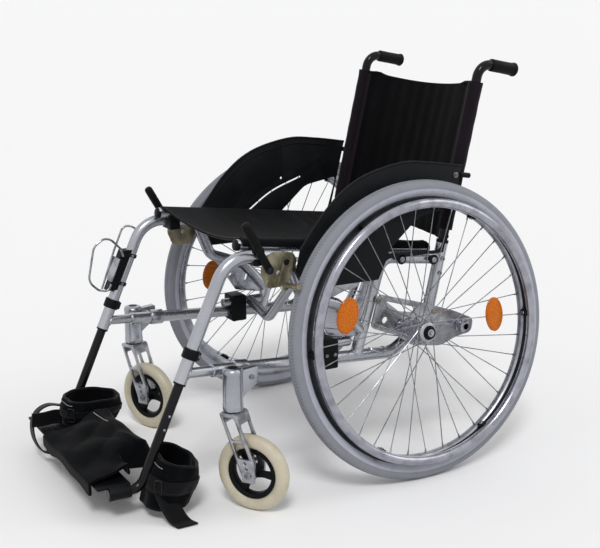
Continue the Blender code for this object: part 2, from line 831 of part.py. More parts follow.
def brace_foot(side):
    """Bearing block that clips round the lower tube and carries one brace's pivot sleeve."""
    low_z = lower_z((BEARING_FRONT + BEARING_REAR) / 2.0) - TUBE_R - BEARING_WALL
    high_z = PIVOT_Z + PIVOT_R + BEARING_WALL
    inner = PIVOT_X - PIVOT_R - BEARING_WALL
    outer = FRAME_X + TUBE_R + BEARING_LIP
    body_block = block((inner, BEARING_FRONT, low_z), (outer, BEARING_REAR, high_z), BEARING_EDGE)
    front, rear = BEARING_FRONT - CUT_PAST, BEARING_REAR + CUT_PAST
    holes = [
        bar((FRAME_X, front, lower_z(front)), (FRAME_X, rear, lower_z(rear)), bored(TUBE_R)),
        bar((PIVOT_X, front, PIVOT_Z), (PIVOT_X, rear, PIVOT_Z), bored(PIVOT_R)),
    ]
    return mirrored(combined(body_block, (), holes), side)


def rail_saddle(side):
    """Clip round the front rail with an open cradle in which the seat tube rests."""
    front, rear = SADDLE_FRONT, SADDLE_REAR
    middle = (front + rear) / 2.0
    low_z = rail_z(middle) - TUBE_R - SADDLE_WALL
    high_z = seat_tube_z(rear) - SADDLE_DROP
    inner = SEAT_X - SEAT_TUBE_R - SADDLE_WALL
    outer = FRAME_X + TUBE_R - SADDLE_LIP
    holes = []
    for x, height, radius in ((FRAME_X, rail_z, TUBE_R), (SEAT_X, seat_tube_z, SEAT_TUBE_R)):
        start, end = front - CUT_PAST, rear + CUT_PAST
        holes.append(bar((x, start, height(start)), (x, end, height(end)), bored(radius)))
    saddle = block((inner, front, low_z), (outer, rear, high_z), SADDLE_EDGE)
    return mirrored(combined(saddle, (), holes), side)


# Casters

def caster_housing(side):
    """Head tube of one caster with the block that clamps it to the lower tube."""
    clamp_front, clamp_rear = (SWIVEL_Y + distance for distance in CLAMP_BEHIND)
    middle = (clamp_front + clamp_rear) / 2.0
    clamp_top = lower_z(middle) + TUBE_R + HOUSING_WALL
    clamp = block((FRAME_X - TUBE_R - HOUSING_WALL, clamp_front, HOUSING_BOTTOM + CLAMP_RISE),
                  (SWIVEL_X + CLAMP_OVERHANG, clamp_rear, clamp_top), BEARING_EDGE)
    web = block((SWIVEL_X - WEB_HALF, SWIVEL_Y + WEB_BEHIND[0], HOUSING_BOTTOM + CLAMP_RISE + WELD),
                (SWIVEL_X + WEB_HALF - WELD, SWIVEL_Y + WEB_BEHIND[1], HOUSING_TOP - WEB_INSET))
    length = HOUSING_TOP - HOUSING_BOTTOM
    head = aimed(turned([(0.0, 0.0), (0.0, HOUSING_R - HOUSING_CHAMFER), (HOUSING_CHAMFER, HOUSING_R),
                         (length - HOUSING_CAP, HOUSING_R), (length - WELD, HOUSING_R - HOUSING_WALL),
                         (length, 0.0)], 16), (SWIVEL_X, SWIVEL_Y, HOUSING_BOTTOM), (0, 0, 1))
    bolt_z = HOUSING_BOTTOM + CLAMP_BOLT_RISE
    tube_front, tube_rear = clamp_front - CUT_PAST, clamp_rear + CUT_PAST
    holes = [
        bar((SWIVEL_X, SWIVEL_Y, HOUSING_BOTTOM - CUT_PAST),
            (SWIVEL_X, SWIVEL_Y, HOUSING_BOTTOM + STEM_LENGTH + HOUSING_WALL), bored(STEM_R)),
        bar((FRAME_X, tube_front, lower_z(tube_front)), (FRAME_X, tube_rear, lower_z(tube_rear)),
            bored(TUBE_R)),
        bar((FRAME_X - CUT_PAST - TUBE_R, middle, bolt_z), (FRAME_X + TUBE_R, middle, bolt_z), CLAMP_BOLT_R),
    ]
    return mirrored(combined(head, [clamp, web], holes), side)


def caster_height():
    """Height of a caster wheel's axle, with one flat of its tyre on the floor."""
    return CASTER_R * math.cos(math.pi / CASTER_SIDES)


def caster_fork():
    """Fork with its stem, in the caster's own frame: Y trails, the wheel turns about X."""
    axle_z = caster_height()
    top = HOUSING_BOTTOM - GAP - WELD
    crown_low = top - FORK_CROWN
    inner = CASTER_HUB_HALF + FORK_CLEAR
    outer = inner + FORK_PLATE
    front, rear = CASTER_TRAIL + FORK_LEG_FRONT, CASTER_TRAIL - FORK_LEG_REAR
    foot_half, foot_drop = FORK_FOOT
    outline = [(-FORK_TOP_HALF, top), (FORK_TOP_HALF, top),
               (FORK_SHOULDER[0], crown_low - FORK_SHOULDER[1]), (front, axle_z + FORK_LEG_TOP),
               (front, axle_z - foot_half), (CASTER_TRAIL + foot_half, axle_z - foot_drop),
               (CASTER_TRAIL - foot_half, axle_z - foot_drop), (rear, axle_z - foot_half),
               (FORK_THROAT[0], axle_z + FORK_THROAT[1])]
    plates = slab(outline, -outer, outer)
    gap = block((-inner, -CASTER_R, 0.0), (inner, CASTER_TRAIL + CASTER_R, crown_low))
    neck = bar((0, 0, top - HOUSING_WALL), (0, 0, HOUSING_BOTTOM - GAP), FORK_NECK_R, 16)
    stem = bar((0, 0, top - FORK_PLATE), (0, 0, HOUSING_BOTTOM + STEM_LENGTH), STEM_R)
    arch_rise, arch_half = FORK_ARCH
    side_y, side_drop = FORK_ARCH_SIDE
    rear_y, front_y, foot_rise = FORK_ARCH_FOOT
    arch = [(-arch_half, crown_low + arch_rise), (arch_half, crown_low + arch_rise),
            (side_y, crown_low - side_drop), (front_y, axle_z + foot_rise), (rear_y, axle_z + foot_rise)]
    window = [(FORK_WINDOW_TOP[0], axle_z + FORK_WINDOW_TOP[2]),
              (FORK_WINDOW_TOP[1], axle_z + FORK_WINDOW_TOP[2]),
              (FORK_WINDOW_FOOT[1], axle_z + FORK_WINDOW_FOOT[2]),
              (FORK_WINDOW_FOOT[0], axle_z + FORK_WINDOW_FOOT[2])]
    past = outer + CUT_PAST
    holes = [slab(arch, -past, past), slab(window, -past, past)]
    for rise in FORK_HOLES:
        y, z = CASTER_TRAIL - rise * FORK_LEG_LEAN, axle_z + rise
        radius = bored(CASTER_AXLE_R) if rise == 0.0 else CASTER_AXLE_R - WELD
        holes.append(bar((-past, y, z), (past, y, z), radius))
    return combined(plates, [neck, stem], [gap] + holes)


def caster_tyre():
    """Solid tyre of a caster, about its own X axis."""
    return hoop(circle_profile(CASTER_R - CASTER_TYRE_R, CASTER_TYRE_R, 6), CASTER_SIDES)


def caster_rim():
    """Three-spoked caster wheel with its hub and axle hole."""
    outer = CASTER_R - 2.0 * CASTER_TYRE_R - GAP
    inner = outer - CASTER_RIM_DEPTH
    half, edge = CASTER_RIM_HALF, inner + CASTER_RIM_CROWN
    ring = hoop([(-half, edge), (-half, outer), (half, outer), (half, edge), (0.0, inner)], CASTER_SIDES)
    hub = bar((-CASTER_HUB_HALF, 0, 0), (CASTER_HUB_HALF, 0, 0), CASTER_HUB_R, 12)
    spokes = []
    for k in range(CASTER_SPOKES):
        spoke = block((-CASTER_SPOKE_HALF, -CASTER_SPOKE_WIDTH / 2.0, 0.0),
                      (CASTER_SPOKE_HALF, CASTER_SPOKE_WIDTH / 2.0, (inner + outer) / 2.0))
        spokes.append(moved(spoke, Matrix.Rotation(2.0 * math.pi * (k + 0.25) / CASTER_SPOKES, 4, "X")))
    past = CASTER_HUB_HALF + CUT_PAST
    hole = bar((-past, 0, 0), (past, 0, 0), bored(CASTER_AXLE_R))
    return combined(ring, [hub] + spokes, [hole])


def caster_axle():
    """Bolt through the fork and the caster wheel, with a head and a nut."""
    seat = CASTER_HUB_HALF + FORK_CLEAR + FORK_PLATE + GAP
    end = seat + CASTER_HEAD
    return turned([(-end, 0.0), (-end, CASTER_HEAD_R), (-seat, CASTER_HEAD_R), (-seat, CASTER_AXLE_R),
                   (seat, CASTER_AXLE_R), (seat, CASTER_HEAD_R), (end, CASTER_HEAD_R), (end, 0.0)], SIDES)


# Rear wheels, each in its own frame: X runs outboard along the axle

def rear_tyre():
    """Pneumatic tyre."""
    return hoop(circle_profile(WHEEL_R - TYRE_SECTION_R, TYRE_SECTION_R, 8), WHEEL_SIDES)


def rim_inner():
    """Radius of the rim's inner face."""
    return WHEEL_R - 2.0 * TYRE_SECTION_R - RIM_DEPTH


def rear_rim():
    """Alloy rim, whose side walls stand round the foot of the tyre."""
    bed = WHEEL_R - 2.0 * TYRE_SECTION_R - GAP
    wall = bed + RIM_WELL
    low = rim_inner()
    w = RIM_HALF_WIDTH
    profile = [(-w, wall), (-RIM_BED_HALF, bed), (RIM_BED_HALF, bed), (w, wall), (RIM_INNER_HALF, low),
               (-RIM_INNER_HALF, low)]
    return hoop(profile, WHEEL_SIDES)


def rear_hub():
    """Hub with its two flanges, the bore for the axle, and the crossed spokes."""
    bore = bored(AXLE_R, HUB_SIDES)
    inner, outer = -FLANGE_INNER, FLANGE_OUTER
    half = FLANGE_THICK / 2.0
    profile = [(-HUB_INNER, bore), (-HUB_INNER, RECEIVER_R), (inner - half, HUB_R), (inner - half, FLANGE_R),
               (inner + half, FLANGE_R), (inner + half, HUB_R), (outer - half, HUB_R),
               (outer - half, FLANGE_R), (outer + half, FLANGE_R), (outer + half, HUB_R),
               (HUB_OUTER, RECEIVER_R), (HUB_OUTER, bore)]
    hub = hoop(profile, HUB_SIDES)
    rim_r = rim_inner() * math.cos(math.pi / WHEEL_SIDES) - 2.0 * GAP
    spokes = []
    for k in range(SPOKES):
        flange = inner if k % 2 else outer
        lead = 1 if (k // 2) % 2 else -1
        at_rim = 2.0 * math.pi * k / SPOKES
        at_hub = at_rim - lead * SPOKE_CROSSES * 4.0 * math.pi / SPOKES
        hole_r = FLANGE_R - SPOKE_HOLE_INSET
        start = Vector((flange + lead * SPOKE_SPREAD, hole_r * math.cos(at_hub), hole_r * math.sin(at_hub)))
        end = Vector((lead * SPOKE_SPREAD, rim_r * math.cos(at_rim), rim_r * math.sin(at_rim)))
        spokes.append(bar(start, end, SPOKE_R, SPOKE_SIDES))
    return combined(hub, [gathered(spokes)])


def push_rim():
    """Hand rim with the tabs that stand it off the wheel rim."""
    ring = hoop(circle_profile(PUSH_RIM_R, PUSH_RIM_TUBE_R, 6, PUSH_RIM_OFFSET), WHEEL_SIDES)
    foot = RIM_HALF_WIDTH + GAP
    top = WHEEL_R - 2.0 * TYRE_SECTION_R + RIM_WELL - 3.0 * GAP
    tabs = []
    for k in range(PUSH_RIM_TABS):
        tab = block((foot, -TAB_WIDTH / 2.0, PUSH_RIM_R - TAB_SUNK),
                    (PUSH_RIM_OFFSET - TAB_SUNK, TAB_WIDTH / 2.0, top))
        tabs.append(moved(tab, Matrix.Rotation(2.0 * math.pi * k / PUSH_RIM_TABS - PUSH_RIM_PHASE, 4, "X")))
    return combined(ring, tabs)


def axle_pin():
    """Quick-release axle with its cap and the bore for the release button."""
    cap_foot = HUB_OUTER + GAP
    cap_top = cap_foot + AXLE_CAP_LENGTH
    bore = bored(BUTTON_R, 12)
    depth = BUTTON_DEPTH + BUTTON_TRAVEL
    tip = axle_local(FRAME_X + TUBE_R + GAP) - NUT_LENGTH - AXLE_PROUD
    return turned([(tip, 0.0), (tip, AXLE_R - AXLE_PROUD), (tip + AXLE_PROUD, AXLE_R), (cap_foot, AXLE_R),
                   (cap_foot, AXLE_CAP_R), (cap_top, AXLE_CAP_R), (cap_top, bore),
                   (cap_top - depth, bore), (cap_top - depth, 0.0)], 12)


def release_button():
    """Push button in the end of the axle."""
    top = HUB_OUTER + GAP + AXLE_CAP_LENGTH
    foot = top - BUTTON_DEPTH + GAP
    head = top + BUTTON_TRAVEL + BUTTON_EDGE
    return turned([(foot, 0.0), (foot, BUTTON_R), (head - BUTTON_EDGE, BUTTON_R),
                   (head, BUTTON_R - BUTTON_EDGE), (head, 0.0)], 12)


def reflector(angle):
    """Oval spoke reflector, clipped on the outer row of spokes and lying along it."""
    share = (REFLECTOR_FROM_HUB - FLANGE_R) / (rim_inner() - FLANGE_R)
    spokes_x = FLANGE_OUTER * (1.0 - share) - SPOKE_SPREAD + SPOKE_R * 0.4
    lean = math.atan(FLANGE_OUTER / (rim_inner() - FLANGE_R))
    rounded_off = 1.0 - REFLECTOR_EDGE / REFLECTOR_HALF_WIDTH
    disc = turned([(0.0, 0.0), (0.0, 1.0), (REFLECTOR_THICK - REFLECTOR_EDGE, 1.0),
                   (REFLECTOR_THICK, rounded_off), (REFLECTOR_THICK, 0.0)], 20)
    bmesh.ops.scale(disc, verts=disc.verts, vec=(1.0, REFLECTOR_HALF_WIDTH, REFLECTOR_HALF_HEIGHT))
    lift = spokes_x + GAP
    place = Matrix.Rotation(angle, 4, "X") @ Matrix.Translation((lift, REFLECTOR_FROM_HUB, 0.0))
    return moved(disc, place @ Matrix.Rotation(lean, 4, "Z"))


def axle_plate(side):
    """Plate bolted to the frame, with the axle's receiver tube and a second socket."""
    inner = FRAME_X + TUBE_R + GAP
    outer = inner + AXLE_PLATE_THICK
    frame = wheel_matrix(1)
    axle_z = frame.translation.z

    def raised(points):
        return [(y, axle_z + z) for y, z in points]

    def along(distance):
        return frame @ Vector((distance, 0.0, 0.0))

    nut_end = axle_local(inner) - NUT_LENGTH
    receiver_end = -HUB_INNER - GAP
    (y, z), (hole_y, hole_z) = raised([SPARE_SOCKET, AXLE_PLATE_HOLE])
    socket_end = outer + SPARE_SOCKET_LENGTH
    adds = [bar(along(axle_local(inner + WELD)), along(receiver_end), RECEIVER_R, HUB_SIDES),
            bar(along(nut_end), along(axle_local(outer - WELD)), NUT_R, 6),
            bar((inner + WELD, y, z), (socket_end, y, z), RECEIVER_R, HUB_SIDES)]
    for bolt_y, bolt_z in raised(AXLE_PLATE_BOLTS):
        start, end = (outer - WELD, bolt_y, bolt_z), (outer + PLATE_BOLT_HEAD, bolt_y, bolt_z)
        adds.append(bar(start, end, PLATE_BOLT_R))
    low, high = inner - CUT_PAST, outer + CUT_PAST
    cuts = [bar(along(nut_end - CUT_PAST), along(CUT_PAST), bored(AXLE_R, HUB_SIDES), HUB_SIDES),
            bar((low, y, z), (socket_end + CUT_PAST, y, z), bored(AXLE_R, HUB_SIDES), HUB_SIDES),
            bar((low, hole_y, hole_z), (high, hole_y, hole_z), AXLE_PLATE_HOLE_R),
            slab(raised(AXLE_PLATE_WINDOW), low, high)]
    return mirrored(combined(slab(raised(AXLE_PLATE_OUTLINE), inner, outer), adds, cuts), side)


# Side guards and brakes

def side_guard(side):
    """Side panel with its curved slot, its cut-out and the bosses on the frame."""
    inner = FRAME_X + TUBE_R + GUARD_STANDOFF
    outer = inner + GUARD_THICK
    pivot_y, pivot_z = shoe_pivot()
    behind_brake = [(pivot_y + y, pivot_z + z) for y, z in GUARD_FROM_SHOE_PIVOT]
    edge = curve([behind_brake[-1], *GUARD_EDGE])
    panel = slab(edge + [*GUARD_BASE, *behind_brake[:-1]], inner, outer)
    foot = FRAME_X + TUBE_R + GAP
    bosses = [bar((foot, y, rail_z(y)), (inner + WELD, y, rail_z(y)), GUARD_BOSS_R) for y in GUARD_BOSSES]
    low, high = inner - CUT_PAST, outer + CUT_PAST
    cuts = [slab(ribbon(curve(GUARD_SLOT), GUARD_SLOT_HALF), low, high), slab(GUARD_CUTOUT, low, high)]
    cuts += [bar((low, y, z), (high, y, z), GUARD_HOLE_R, 8) for y, z in GUARD_HOLES]
    return mirrored(combined(panel, bosses, cuts), side)


def brake_layers():
    """The |x| of the brake's layers: bracket, shoe arm and lever, each as a low and a high."""
    bracket = FRAME_X + TUBE_R + GAP
    arm = bracket + BRAKE_PLATE + GAP
    lever = arm + SHOE_ARM_THICK + GAP
    return (bracket, bracket + BRAKE_PLATE), (arm, arm + SHOE_ARM_THICK), (lever, lever + LEVER_THICK)


def shoe_contact():
    """Where the shoe's centre line crosses the wheel's middle plane, clear of the tyre."""
    frame = wheel_matrix(1)
    reach = WHEEL_R + SHOE_R + SHOE_CLEAR
    rise = (SHOE_HEIGHT - frame.translation.z) / math.cos(CAMBER)
    return frame @ Vector((0.0, -math.sqrt(reach ** 2 - rise ** 2), rise))


def shoe_pivot():
    """The (y, z) of the rivet on which the shoe arm turns."""
    contact = shoe_contact()
    return (contact.y + SHOE_PIVOT_FROM_SHOE[0], contact.z + SHOE_PIVOT_FROM_SHOE[1])


def lever_pivot():
    """The (y, z) of the rivet on which the brake lever turns."""
    y, z = shoe_pivot()
    return (y + LEVER_FROM_SHOE_PIVOT[0], z + LEVER_FROM_SHOE_PIVOT[1])


def stud(point, low, high):
    """Rivet that stands on the bracket, with a head outside the layer it holds."""
    y, z = point
    end = high + GAP
    return turned([(0.0, 0.0), (0.0, STUD_R), (end - low, STUD_R), (end - low, STUD_HEAD_R),
                   (end - low + STUD_HEAD, STUD_HEAD_R), (end - low + STUD_HEAD, 0.0)], SIDES,
                  Vector((low, y, z)))


def brake_bracket(side):
    """Bracket on the rail with the rivets for the lever and the shoe arm."""
    (low, high), arm, lever = brake_layers()
    pivot_y, pivot_z = shoe_pivot()
    plate = slab([(pivot_y + y, pivot_z + z) for y, z in BRAKE_OUTLINE], low, high)
    adds = [stud(lever_pivot(), high - WELD, lever[1]), stud(shoe_pivot(), high - WELD, arm[1])]
    return mirrored(combined(plate, adds), side)


def brake_lever(side):
    """Brake lever with its grip."""
    low, high = brake_layers()[2]
    lean = Vector((0.0, -math.sin(LEVER_LEAN), math.cos(LEVER_LEAN)))
    pivot = Vector((0.0, *lever_pivot()))
    grip_foot = pivot + lean * LEVER_BAR
    middle = Vector(((low + high) / 2.0, 0.0, 0.0))
    plate_end = grip_foot + lean * LEVER_OVERLAP
    plate = slab(lozenge((pivot.y, pivot.z), (plate_end.y, plate_end.z), LEVER_HALF_WIDTH), low, high)
    profile = [(0.0, 0.0), (0.0, LEVER_GRIP_R - WELD), (LEVER_COLLAR, LEVER_GRIP_R),
               (LEVER_GRIP - LEVER_TIP, LEVER_GRIP_R), (LEVER_GRIP, LEVER_GRIP_R - LEVER_COLLAR),
               (LEVER_GRIP, 0.0)]
    outboard = Vector((LEVER_GRIP_R / 2.0, 0.0, 0.0))
    grip = aimed(turned(profile, 12), grip_foot + middle + outboard, lean)
    hole = bar((low - CUT_PAST, pivot.y, pivot.z), (high + CUT_PAST, pivot.y, pivot.z), bored(STUD_R))
    return mirrored(combined(plate, [grip], [hole]), side)


def brake_shoe(side):
    """Shoe bar that stands across the tyre, on the arm that swings it."""
    low, high = brake_layers()[1]
    contact = shoe_contact()
    along = (wheel_matrix(1).to_3x3() @ Vector((1.0, 0.0, 0.0))).normalized()
    start = contact + along * ((low + WELD - contact.x) / along.x)
    end = contact + along * TYRE_SECTION_R
    pivot_y, pivot_z = shoe_pivot()
    arm = slab(lozenge((pivot_y, pivot_z), (start.y, start.z), SHOE_ARM_HALF_WIDTH), low, high)
    hole = bar((low - CUT_PAST, pivot_y, pivot_z), (high + CUT_PAST, pivot_y, pivot_z), bored(STUD_R))
    return mirrored(combined(arm, [bar(start, end, SHOE_R)], [hole]), side)


# Braces and slings

def brace(side, y):
    """One scissor brace: pivot sleeve below on its own side, seat tube above on the other."""
    def at(x, z):
        return Vector((side * x, y, z))

    path = rounded([at(PIVOT_X - BRACE_END_INSET, PIVOT_Z), at(*BRACE_KNEE), at(0.0, BRACE_CROSS_Z),
                    at(-BRACE_ELBOW[0], BRACE_ELBOW[1]), at(-SEAT_X, seat_tube_z(y))],
                   [BRACE_BEND, BRACE_CROSS_BEND, BRACE_BEND])
    pivot = bar((side * PIVOT_X, PIVOT_FRONT, PIVOT_Z), (side * PIVOT_X, PIVOT_REAR, PIVOT_Z), PIVOT_R)
    seat = bar((-side * SEAT_X, SEAT_FRONT, seat_tube_z(SEAT_FRONT)),
               (-side * SEAT_X, SEAT_REAR, seat_tube_z(SEAT_REAR)), SEAT_TUBE_R)
    reach = BRACE_R + CUT_PAST
    hole = bar((0, y - reach, BRACE_CROSS_Z), (0, y + reach, BRACE_CROSS_Z), bored(BOLT_R))
    return combined(sweep(path, BRACE_R), [pivot, seat], [hole])


def brace_bolt():
    """Bolt on which the two braces turn, with the spacer between them."""
    rear = BRACE_A_Y + BRACE_R + GAP
    front = BRACE_A_Y - BRACE_SPACING - BRACE_R - GAP
    spacer_low = BRACE_A_Y - BRACE_SPACING + BRACE_R + GAP
    spacer_high = BRACE_A_Y - BRACE_R - GAP
    profile = [(front - BOLT_HEAD, 0.0), (front - BOLT_HEAD, BOLT_HEAD_R), (front, BOLT_HEAD_R),
               (front, BOLT_R), (spacer_low, BOLT_R), (spacer_low, BOLT_HEAD_R), (spacer_high, BOLT_HEAD_R),
               (spacer_high, BOLT_R), (rear, BOLT_R), (rear, BOLT_HEAD_R), (rear + BOLT_HEAD, BOLT_HEAD_R),
               (rear + BOLT_HEAD, 0.0)]
    return moved(turned(profile, SIDES), Matrix.Translation((0, 0, BRACE_CROSS_Z))
                 @ Matrix.Rotation(math.pi / 2.0, 4, "Z"))


def seat_sling():
    """Seat upholstery: wrapped over both seat tubes and sagging between them."""
    lean = math.atan(2.0 * SEAT_SAG / SEAT_X)
    wrap = math.pi / 2.0 + lean - WRAP_FROM
    inner_r = (SEAT_TUBE_R + GAP) / math.cos(wrap / WRAP_STEPS / 2.0)
    outer_r = inner_r + SLING_THICK

    def section(radius):
        turn = [WRAP_FROM + wrap * k / WRAP_STEPS for k in range(WRAP_STEPS + 1)]
        right = [(SEAT_X + radius * math.cos(a), radius * math.sin(a)) for a in turn]
        edge_x, edge_z = right[-1]
        middle = []
        for k in range(1, SEAT_SLING_COLUMNS):
            x = edge_x * (1.0 - 2.0 * k / SEAT_SLING_COLUMNS)
            middle.append((x, edge_z - SEAT_SAG * (1.0 - (x / edge_x) ** 2)))
        return right + middle + [(-x, z) for x, z in right[::-1]]

    grids = []
    for radius in (outer_r, inner_r):
        rows = []
        for row in range(SEAT_SLING_ROWS + 1):
            y = SEAT_SLING_FRONT + (SEAT_SLING_REAR - SEAT_SLING_FRONT) * row / SEAT_SLING_ROWS
            rows.append([Vector((x, y, seat_tube_z(y) + z)) for x, z in section(radius)])
        grids.append(rows)
    return shell(*grids)


def back_sling():
    """Back upholstery: a pleated, sagging panel between sleeves that slide over the canes."""
    levels = [BACK_SLING_BOTTOM, (BACK_SLING_BOTTOM + BACK_SLING_SLEEVE) / 2.0, BACK_SLING_SLEEVE - GAP,
              BACK_SLING_SLEEVE + GAP, (BACK_SLING_SLEEVE + BACK_SLING_TOP) / 2.0, BACK_SLING_TOP]
    grids = []
    for offset in (0.0, BACK_SLING_THICK):
        rows = []
        for level in levels:
            half = FRAME_X if level >= BACK_SLING_SLEEVE else FRAME_X - BACK_SLING_INSET
            row = []
            for k in range(BACK_COLUMNS + 1):
                share = 2.0 * k / BACK_COLUMNS - 1.0
                bow = 1.0 - share ** 2
                top_sag = BACK_TOP_SAG * bow if level == BACK_SLING_TOP else 0.0
                pleat = PLEAT_DEPTH * bow * math.cos(2.0 * math.pi * PLEATS * share) * (offset == 0.0)
                y = back_y(level) + BACK_SAG * bow + offset - BACK_SLING_THICK / 2.0 + pleat
                row.append(Vector((share * half, y, level - top_sag)))
            rows.append(row)
        grids.append(rows)
    panel = shell(*grids)
    sleeves, bores = [], []
    for side in (1, -1):
        low, high = (side_point(side, back_y(z), z, FRAME_X) for z in (BACK_SLING_SLEEVE, BACK_SLING_TOP))
        run = (high - low).normalized() * BACK_SAG
        sleeves.append(bar(low, high, CANE_R + GAP + BACK_SLING_WALL, 16))
        bores.append(bar(low - run, high + run, bored(CANE_R, 16), 16))
    return combined(panel, sleeves, bores)


# Footrest and rack

def foot_tube(side):
    """Telescoping foot tube: down out of the front leg, then forward under the footplate."""
    start_z = LEG_END[1] + FOOT_INSERT * leg_axis().z
    start, corner = (leg_y(start_z), start_z), (leg_y(FOOT_LEVEL), FOOT_LEVEL)
    points = [side_point(side, *point) for point in (start, corner, (FOOT_FRONT, FOOT_LEVEL))]
    path = rounded(points, [FOOT_BEND])
    return sweep(path, FOOT_TUBE_R)


def footplate():
    """Footplate: turns about the left foot tube and rests on the right one."""
    low = FOOT_LEVEL + FOOT_TUBE_R + GAP
    plate = block((-FRAME_X - PLATE_OVERHANG, PLATE_FRONT, low), (FRAME_X, PLATE_REAR, low + PLATE_THICK),
                  PLATE_EDGE)
    front, rear = FOOT_FRONT + PLATE_EDGE, PLATE_REAR - PLATE_EDGE
    outer = FOOT_TUBE_R + GAP + SLEEVE_WALL
    collar = bar((FRAME_X, front, FOOT_LEVEL), (FRAME_X, rear, FOOT_LEVEL), outer, 16)
    hole = bar((FRAME_X, front - CUT_PAST, FOOT_LEVEL), (FRAME_X, rear + CUT_PAST, FOOT_LEVEL),
               bored(FOOT_TUBE_R, 16), 16)
    return combined(plate, [collar], [hole])


def oval_band(centre, half_x, half_y, low, high, lean, sides=18):
    """Closed band of cloth round an oval, leaning with height and bulging at mid height."""
    grids = []
    for inset in (0.0, CUFF_THICK):
        rows = []
        for step in range(5):
            z = low + (high - low) * step / 4.0
            bulge = CUFF_BULGE * math.sin(math.pi * step / 4.0)
            row = []
            for k in range(sides):
                angle = 2.0 * math.pi * k / sides
                x = centre[0] + (half_x + bulge - inset) * math.cos(angle)
                y = centre[1] + lean * (z - low) + (half_y + bulge - inset) * math.sin(angle)
                row.append(Vector((x, y, z)))
            rows.append(row)
        grids.append(rows)
    outer, inner = grids
    bm = bmesh.new()
    rings = [[bm.verts.new(p) for p in row] for row in outer + inner[::-1]]
    bridge(bm, rings, closed=True)
    return finished(bm)


def strap(line, across, width, thickness):
    """Flat strap along a line of points, as wide as the given direction says."""
    half = Vector(across).normalized() * width / 2.0
    outer, inner = [], []
    for i, point in enumerate(line):
        before, after = line[max(i - 1, 0)], line[min(i + 1, len(line) - 1)]
        normal = (after - before).cross(half).normalized() * thickness / 2.0
        outer.append([point - half + normal, point + half + normal])
        inner.append([point - half - normal, point + half - normal])
    return shell(outer, inner)


def foot_cuff_left():
    """Heel cuff behind the left foot tube, with its loose strap end on the floor."""
    low, high = LEFT_CUFF_LOW, LEFT_CUFF_LOW + LEFT_CUFF_HEIGHT
    tube_face = leg_y(low) + (FOOT_TUBE_R + GAP) / leg_axis().z
    centre = (FRAME_X + CUFF_BULGE, tube_face + LEFT_CUFF_HALF_Y + CUFF_BULGE - CUFF_SEAT)
    band = oval_band(centre, LEFT_CUFF_HALF_X, LEFT_CUFF_HALF_Y, low, high, LEG_LEAN)
    tail = strap([Vector(point) for point in TAIL_LINE], TAIL_ACROSS, TAIL_WIDTH, STRAP_THICK)
    return combined(band, [tail])


def foot_cuff_right():
    """Cuff beside the right foot tube, resting on the footplate, with its front strap."""
    low = FOOT_LEVEL + FOOT_TUBE_R + PLATE_THICK + 3.0 * GAP
    high = low + RIGHT_CUFF_HEIGHT
    centre_x = -FRAME_X + FOOT_TUBE_R + GAP + RIGHT_CUFF_HALF_X + CUFF_BULGE
    band = oval_band((centre_x, RIGHT_CUFF_Y), RIGHT_CUFF_HALF_X, RIGHT_CUFF_HALF_Y, low, high,
                     RIGHT_CUFF_LEAN)
    points = [Vector((centre_x, y, low + z)) for y, z in FRONT_STRAP]
    return combined(band, [strap(points, (1.0, 0.0, 0.0), STRAP_WIDTH, STRAP_THICK)])


def wire_rack():
    """Bent-wire holder: two arches welded to a tongue in front of the clamp."""
    shapes = []
    for line, side in ((RACK_TALL, -1), (RACK_SHORT, 1)):
        x = -FRAME_X + side * RACK_WIRE_X
        points = [Vector((x, y, z)) for y, z in line]
        shapes.append(sweep(rounded(points, [RACK_BEND] * (len(points) - 2), 1), WIRE_R, 6))
    near = (TUBE_R + GAP + RACK_CLAMP_WALL) / leg_axis().z + GAP
    low, high = RACK_TONGUE_LOW, RACK_TONGUE_HIGH
    outline = [(leg_y(z) - near - extra, z) for z, extra in
               ((low, 0.0), (high, 0.0), (high, RACK_TONGUE_THICK), (low, RACK_TONGUE_THICK))]
    tongue = slab(outline, -FRAME_X - RACK_TONGUE_HALF, -FRAME_X + RACK_TONGUE_HALF)
    return combined(tongue, shapes)


def rack_clamp():
    """Clamp round the right front tube that carries the wire holder."""
    ends = [side_point(-1, leg_y(z), z) for z in (RACK_CLAMP_LOW, RACK_CLAMP_HIGH)]
    run = (ends[1] - ends[0]).normalized() * CUT_PAST
    return combined(bar(ends[0], ends[1], TUBE_R + GAP + RACK_CLAMP_WALL, 16), (),
                    [bar(ends[0] - run, ends[1] + run, bored(TUBE_R, 16), 16)])


# Assembly

def build_side(side, mats, frame):
    """Everything that one side frame carries."""
    word = "left" if side > 0 else "right"

    def name(piece):
        return f"{piece}_{word}"

    part(name("side_frame"), side_frame(side), mats["silver"], frame)
    cane, corner, end = back_cane(side)
    part(name("back_cane"), cane, mats["black_tube"], frame)
    part(name("hand_grip"), hand_grip(corner, end), mats["grip"], frame)
    part(name("clamp_ring"), clamp_ring(side), mats["plastic"], frame)
    part(name("brace_foot"), brace_foot(side), mats["plastic"], frame)
    part(name("rail_saddle"), rail_saddle(side), mats["plastic"], frame)
    part(name("caster_housing"), caster_housing(side), mats["silver"], frame)
    part(name("axle_plate"), axle_plate(side), mats["alloy"], frame)
    part(name("side_guard"), side_guard(side), mats["plastic"], frame)
    part(name("brake_bracket"), brake_bracket(side), mats["steel"], frame)
    build_brake(side, name, mats, frame)
    build_wheel(side, name, mats, frame)
    build_caster(side, name, mats, frame)
    foot_axis = Matrix.Translation(side_point(side, *LEG_END))
    foot = body(name("foot_slide"), foot_axis, frame)
    part(name("foot_tube"), foot_tube(side), mats["black_tube"], foot)
    return foot


